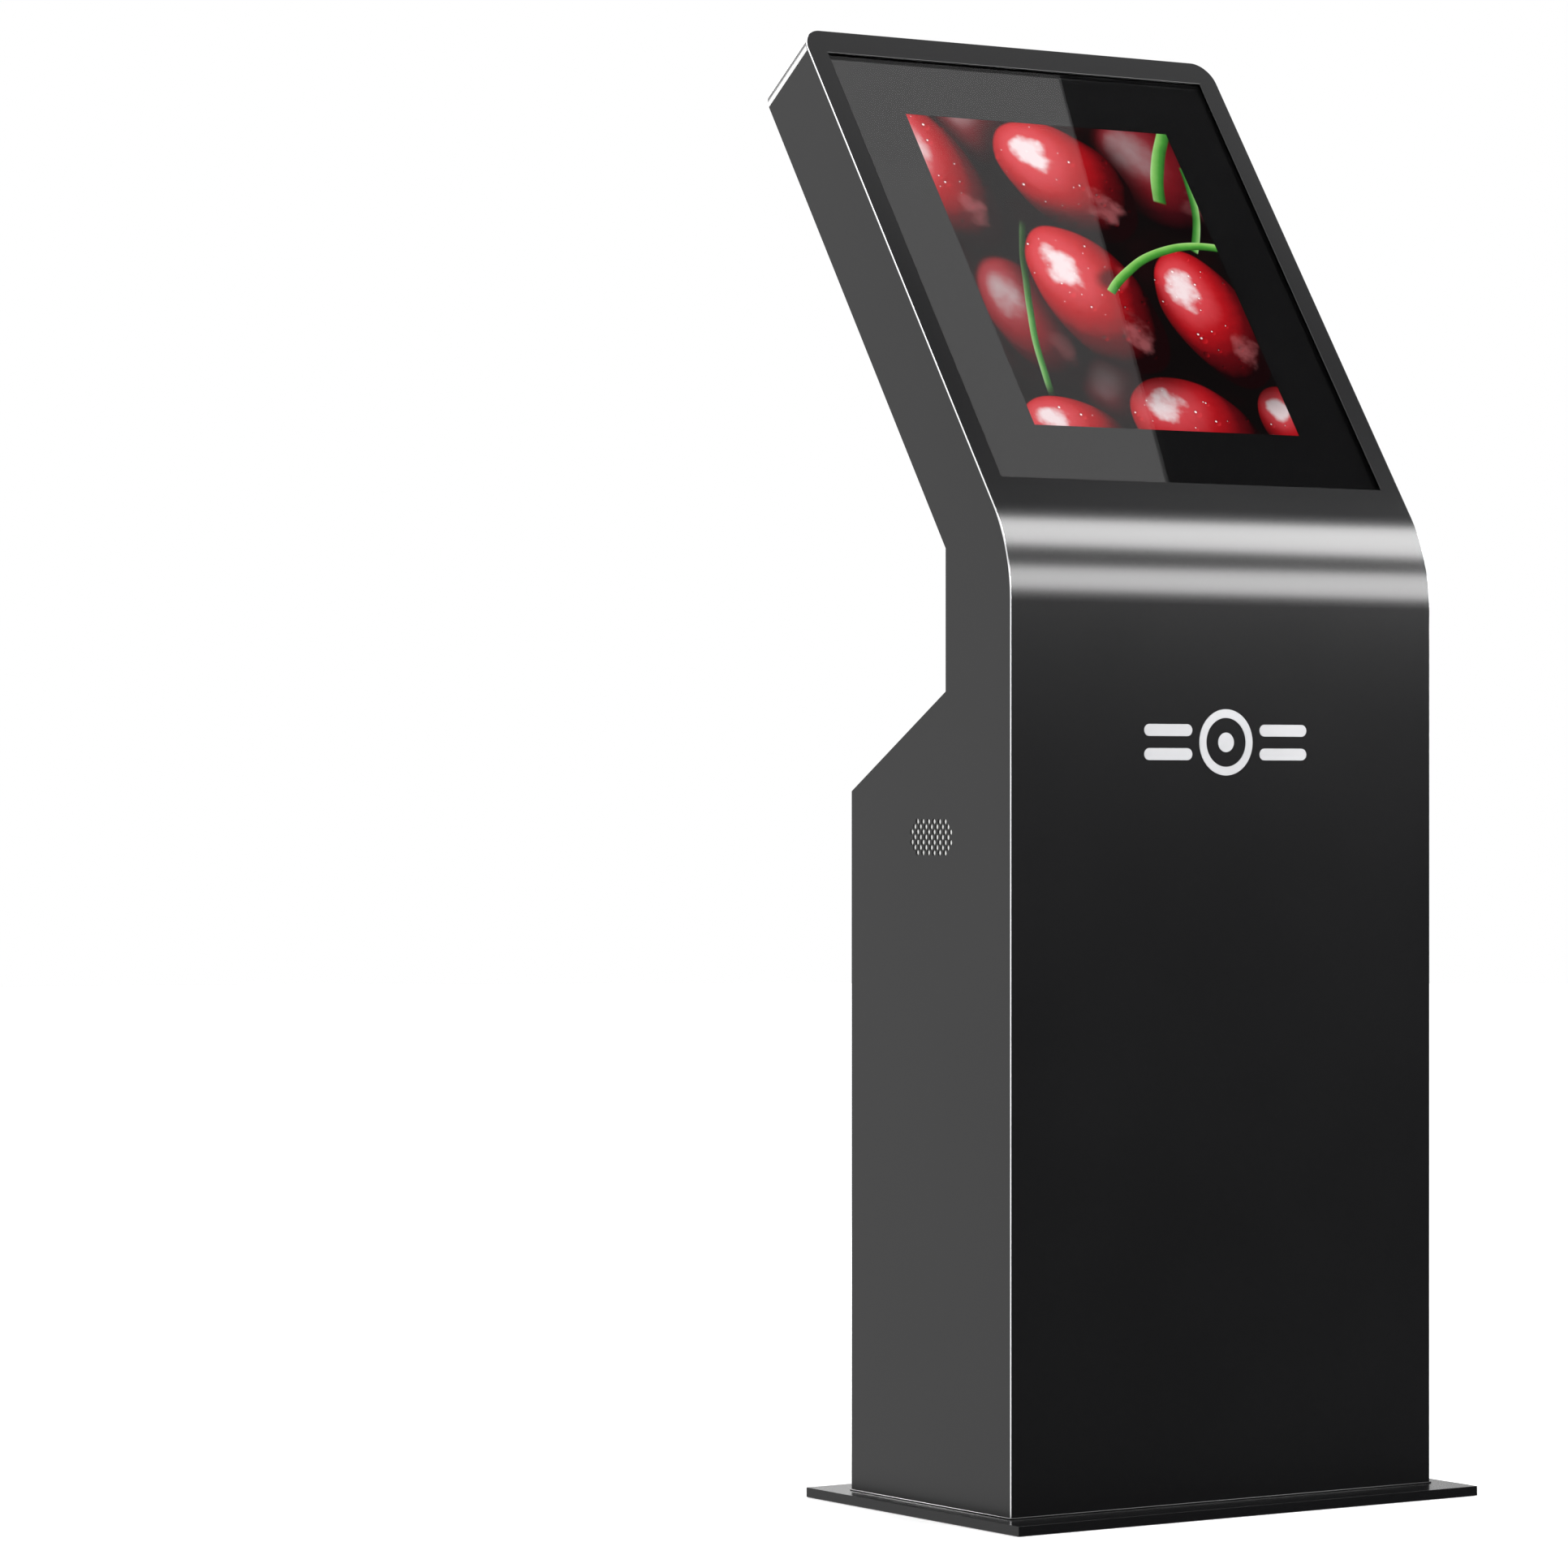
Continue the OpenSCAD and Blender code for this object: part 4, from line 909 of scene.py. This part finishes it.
# %% Sheets and small hardware
ROUNDED = [
    # node, radius in mm, steps round the radius
    ("left_side_panel", 0.45, 2), ("right_side_panel", 0.45, 2), ("head_top_cap", 0.4, 2),
    ("head_rear_cover", 0.4, 2), ("neck_panel", 0.5, 2), ("rear_frame", 0.5, 2),
    ("rear_sill_panel", 0.45, 2), ("rear_door", 0.7, 3), ("base_plate", 0.8, 3),
    ("base_bolts", 0.4, 2), ("head_cover_screws", 0.35, 2), ("rear_screws", 0.35, 2),
    ("frame_hinge_leaves", 0.25, 2), ("door_hinge_leaves", 0.25, 2), ("hinge_pins", 0.3, 2),
    ("lock_housing", 0.4, 2), ("lock_barrel", 0.3, 2), ("power_inlet", 0.5, 2),
    ("fuse_drawer", 0.3, 2), ("switch_bezel", 0.5, 2), ("switch_rocker", 0.5, 2),
    ("button_housing", 0.5, 2), ("button_cap", 0.6, 3), ("emblem", 0.25, 2),
    ("cable_grommet", 0.8, 3), ("fan_frame", 0.5, 2), ("fan_rotor", 0.3, 2),
    ("computer_case", 0.6, 2), ("power_supply", 0.5, 2), ("equipment_shelf", 0.4, 2),
    ("wiring_duct", 0.3, 2),
]
for name, width, segments in ROUNDED:
    made = polished_copy(name, width * MM, segments)
    print(name, len(made.data.polygons))
cap = bpy.data.objects["head_top_cap_finished"]
cap.material_slots[0].material = face_coat
light_only("corner_card", cap)

# %% [markdown]
# ## The cloth behind the speaker holes
# Seen at a slant, each punched hole shows its own dark wall on one side and what lies behind on
# the other. A pale acoustic cloth behind the holes makes that side bright. The speaker's flange
# is set back a little to leave room for it. The cloth is glued flat to the flange, so a thin box
# a millimetre smaller than the flange stands for it, and its weave comes from the bump.

# %% Speaker cloth
CLOTH_ROOM = 0.3 * MM                        # how far the flange is set back
CLOTH_SHARE = 0.8                            # how much of that room the cloth fills
FLANGE_ROUND = 0.3 * MM

cloth_finish = Finish("speaker_cloth", roughness=0.8, ior=1.46)
threads = cloth_finish.noise(1, 1, (1, 1400, 1400))
cloth_finish.feed("Base Color", cloth_finish.blend(threads, (0.55, 0.55, 0.54), (0.82, 0.82, 0.80)))
cloth_finish.bump(threads, 0.00005)
cloths = []
for name in ("left_speaker", "right_speaker"):
    low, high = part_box(name)
    outer = low.x if name == "left_speaker" else high.x
    inward = RIGHT if name == "left_speaker" else LEFT

    def set_back(piece):
        """Moves the flange's outer face inwards, off the side panel."""
        pick(piece, lambda p, n: abs(p.x - outer) < 0.02 * MM and abs(n.x) > 0.9)
        bpy.ops.transform.translate(value=inward * CLOTH_ROOM)

    polished_copy(name, FLANGE_ROUND, before=set_back)
    bpy.ops.mesh.primitive_cube_add(size=1, location=(
        outer + inward.x * CLOTH_ROOM / 2, (low.y + high.y) / 2, (low.z + high.z) / 2))
    cloth = bpy.context.object
    cloth.name = name + "_cloth"
    cloth.scale = (CLOTH_ROOM * CLOTH_SHARE, high.y - low.y - MM, high.z - low.z - MM)
    only(cloth)
    bpy.ops.object.transform_apply(location=True, rotation=True, scale=True)
    cloth.data.materials.append(cloth_finish.material)
    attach(cloth, "root")
    cloths.append(cloth)
light_only("grille_card", *cloths)
print("cloths", [c.name for c in cloths])

# %% [markdown]
# ## The weld bead at the foot
# The cabinet is welded to its base plate all round, and the ground and painted bead catches a
# thin line of light. A flat block a little larger than the foot is inset above and below, and
# its middle is bridged through into a hole, which leaves a closed ring. A bevel rounds the ring.

# %% Weld bead
BEAD = 1.4 * MM
BEAD_LAP = 1.0 * MM                          # how far the ring reaches under the walls
BEAD_ROUND = 1.0 * MM
BEAD_STEPS = 4
BEAD_SHARP = math.radians(60)
BEAD_SMOOTH = math.radians(50)

bpy.ops.mesh.primitive_cube_add(size=1, location=(0, 0, floor_top + BEAD / 2))
bead = bpy.context.object
bead.name = "weld_bead"
bead.scale = (body_w + 2 * BEAD, rear_y - front_y + 2 * BEAD, BEAD)
only(bead)
bpy.ops.object.transform_apply(location=True, rotation=True, scale=True)
edit(bead)
pick(bead, lambda p, n: abs(n.z) > 0.5)
bpy.ops.mesh.inset(thickness=BEAD + BEAD_LAP, use_even_offset=True)
pick(bead, lambda p, n: abs(n.z) > 0.5 and p.xy.length < 0.01)
bpy.ops.mesh.bridge_edge_loops()
done()
print("bead faces", len(bead.data.polygons))
modify(bead, "BEVEL", width=BEAD_ROUND, segments=BEAD_STEPS, limit_method="ANGLE",
       angle_limit=BEAD_SHARP)
only(bead)
bpy.ops.object.shade_smooth_by_angle(angle=BEAD_SMOOTH)
bead.data.materials.append(base_coat)
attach(bead, "root")
light_only("foot_card", bead)
light_only("side_foot_card", bead)

# %% [markdown]
# ## Glass
# The glass is a sheet with ground edges, behind the face plate. The picture lies just behind its
# printed border, and is a little larger than the border's opening, so no gap shows at a slant.

# %% Glass and picture
GLASS_OUT = -2.5 * MM                        # the glass's front, behind the plate's
GLASS_T = 4 * MM
GLASS_ROUND = 0.5 * MM
LAP = 8 * MM                                 # how far the glass reaches behind the plate
SCREEN_OUT = -8.1 * MM
SCREEN_T = 1.1 * MM
SCREEN_LAP = 3.7 * MM                        # how far the picture reaches behind its border


def plate_on_face(name, width, height, out, thick):
    """A thin plate square to the head's face: its front is out in front of the face."""
    bpy.ops.mesh.primitive_plane_add(size=1, rotation=(math.radians(90) - TILT, 0, 0),
                                     location=on_face(0, window_s, out))
    made = bpy.context.object
    made.name = name
    made.scale = (width, height, 1)
    only(made)
    bpy.ops.object.transform_apply(location=True, rotation=True, scale=True)
    modify(made, "SOLIDIFY", thickness=thick, offset=-1)
    return made


glass = plate_on_face("glass_sheet", window_w + 2 * LAP, window_h + 2 * LAP, GLASS_OUT, GLASS_T)
round_edges(glass, GLASS_ROUND)
stand_for(glass, "touch_glass")
light_only("glass_card", glass, nodes["glass_border"])
screen = plate_on_face("lit_picture", PICTURE_W + 2 * SCREEN_LAP, PICTURE_H + 2 * SCREEN_LAP,
                       SCREEN_OUT, SCREEN_T)
stand_for(screen, "display_face")
print("glass", len(glass.data.polygons), "faces, screen", len(screen.data.polygons))

# %% [markdown]
# ## The floor
# A plain pale floor, so large that its edge is never seen. Its glow is painted light: white a few
# metres out, as a lit studio floor is, and weaker under the kiosk, which paints a soft shade there
# over the faint shadow it takes. The coats don't mirror it, or it would wash out their lower parts.

# %% Floor
FLOOR_R = 14.0
FLOOR_SIDES = 96
FLOOR_DROP = 0.5 * MM                        # keeps the floor clear of the base plate
SHADE_FROM = 0.3                             # the glow grows from this far out
SHADE_TO = 3.0

bpy.ops.mesh.primitive_circle_add(vertices=FLOOR_SIDES, radius=FLOOR_R, fill_type="NGON",
                                  location=(0, 0, -FLOOR_DROP))
floor = bpy.context.object
floor.name = "floor"
floor_paint = Finish("pale_floor", roughness=0.9, emission_strength=1.0)
tone = floor_paint.noise(2, 2)
floor_paint.feed("Base Color", floor_paint.blend(tone, (0.88, 0.88, 0.88), (0.92, 0.92, 0.92)))
out_from_middle = floor_paint.node("ShaderNodeVectorMath", {"operation": "LENGTH"},
                                   floor_paint.place(), out="Value")
# The painted glow fades towards the middle, which paints a soft shade under the kiosk.
glow = out_from_middle.soft_step(SHADE_FROM, SHADE_TO)
floor_paint.feed("Emission Color", floor_paint.blend(glow, (0.30, 0.30, 0.30), (1.0, 1.0, 1.0)))
floor.data.materials.append(floor_paint.material)
floor.visible_glossy = False
floor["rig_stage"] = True

# %% [markdown]
# ## The finished size
# The box of the finished kiosk is printed, which shows how far the looks reach.

# %% The finished size
low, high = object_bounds()
print("visual box", [round(v, 4) for v in (*low, *high)])
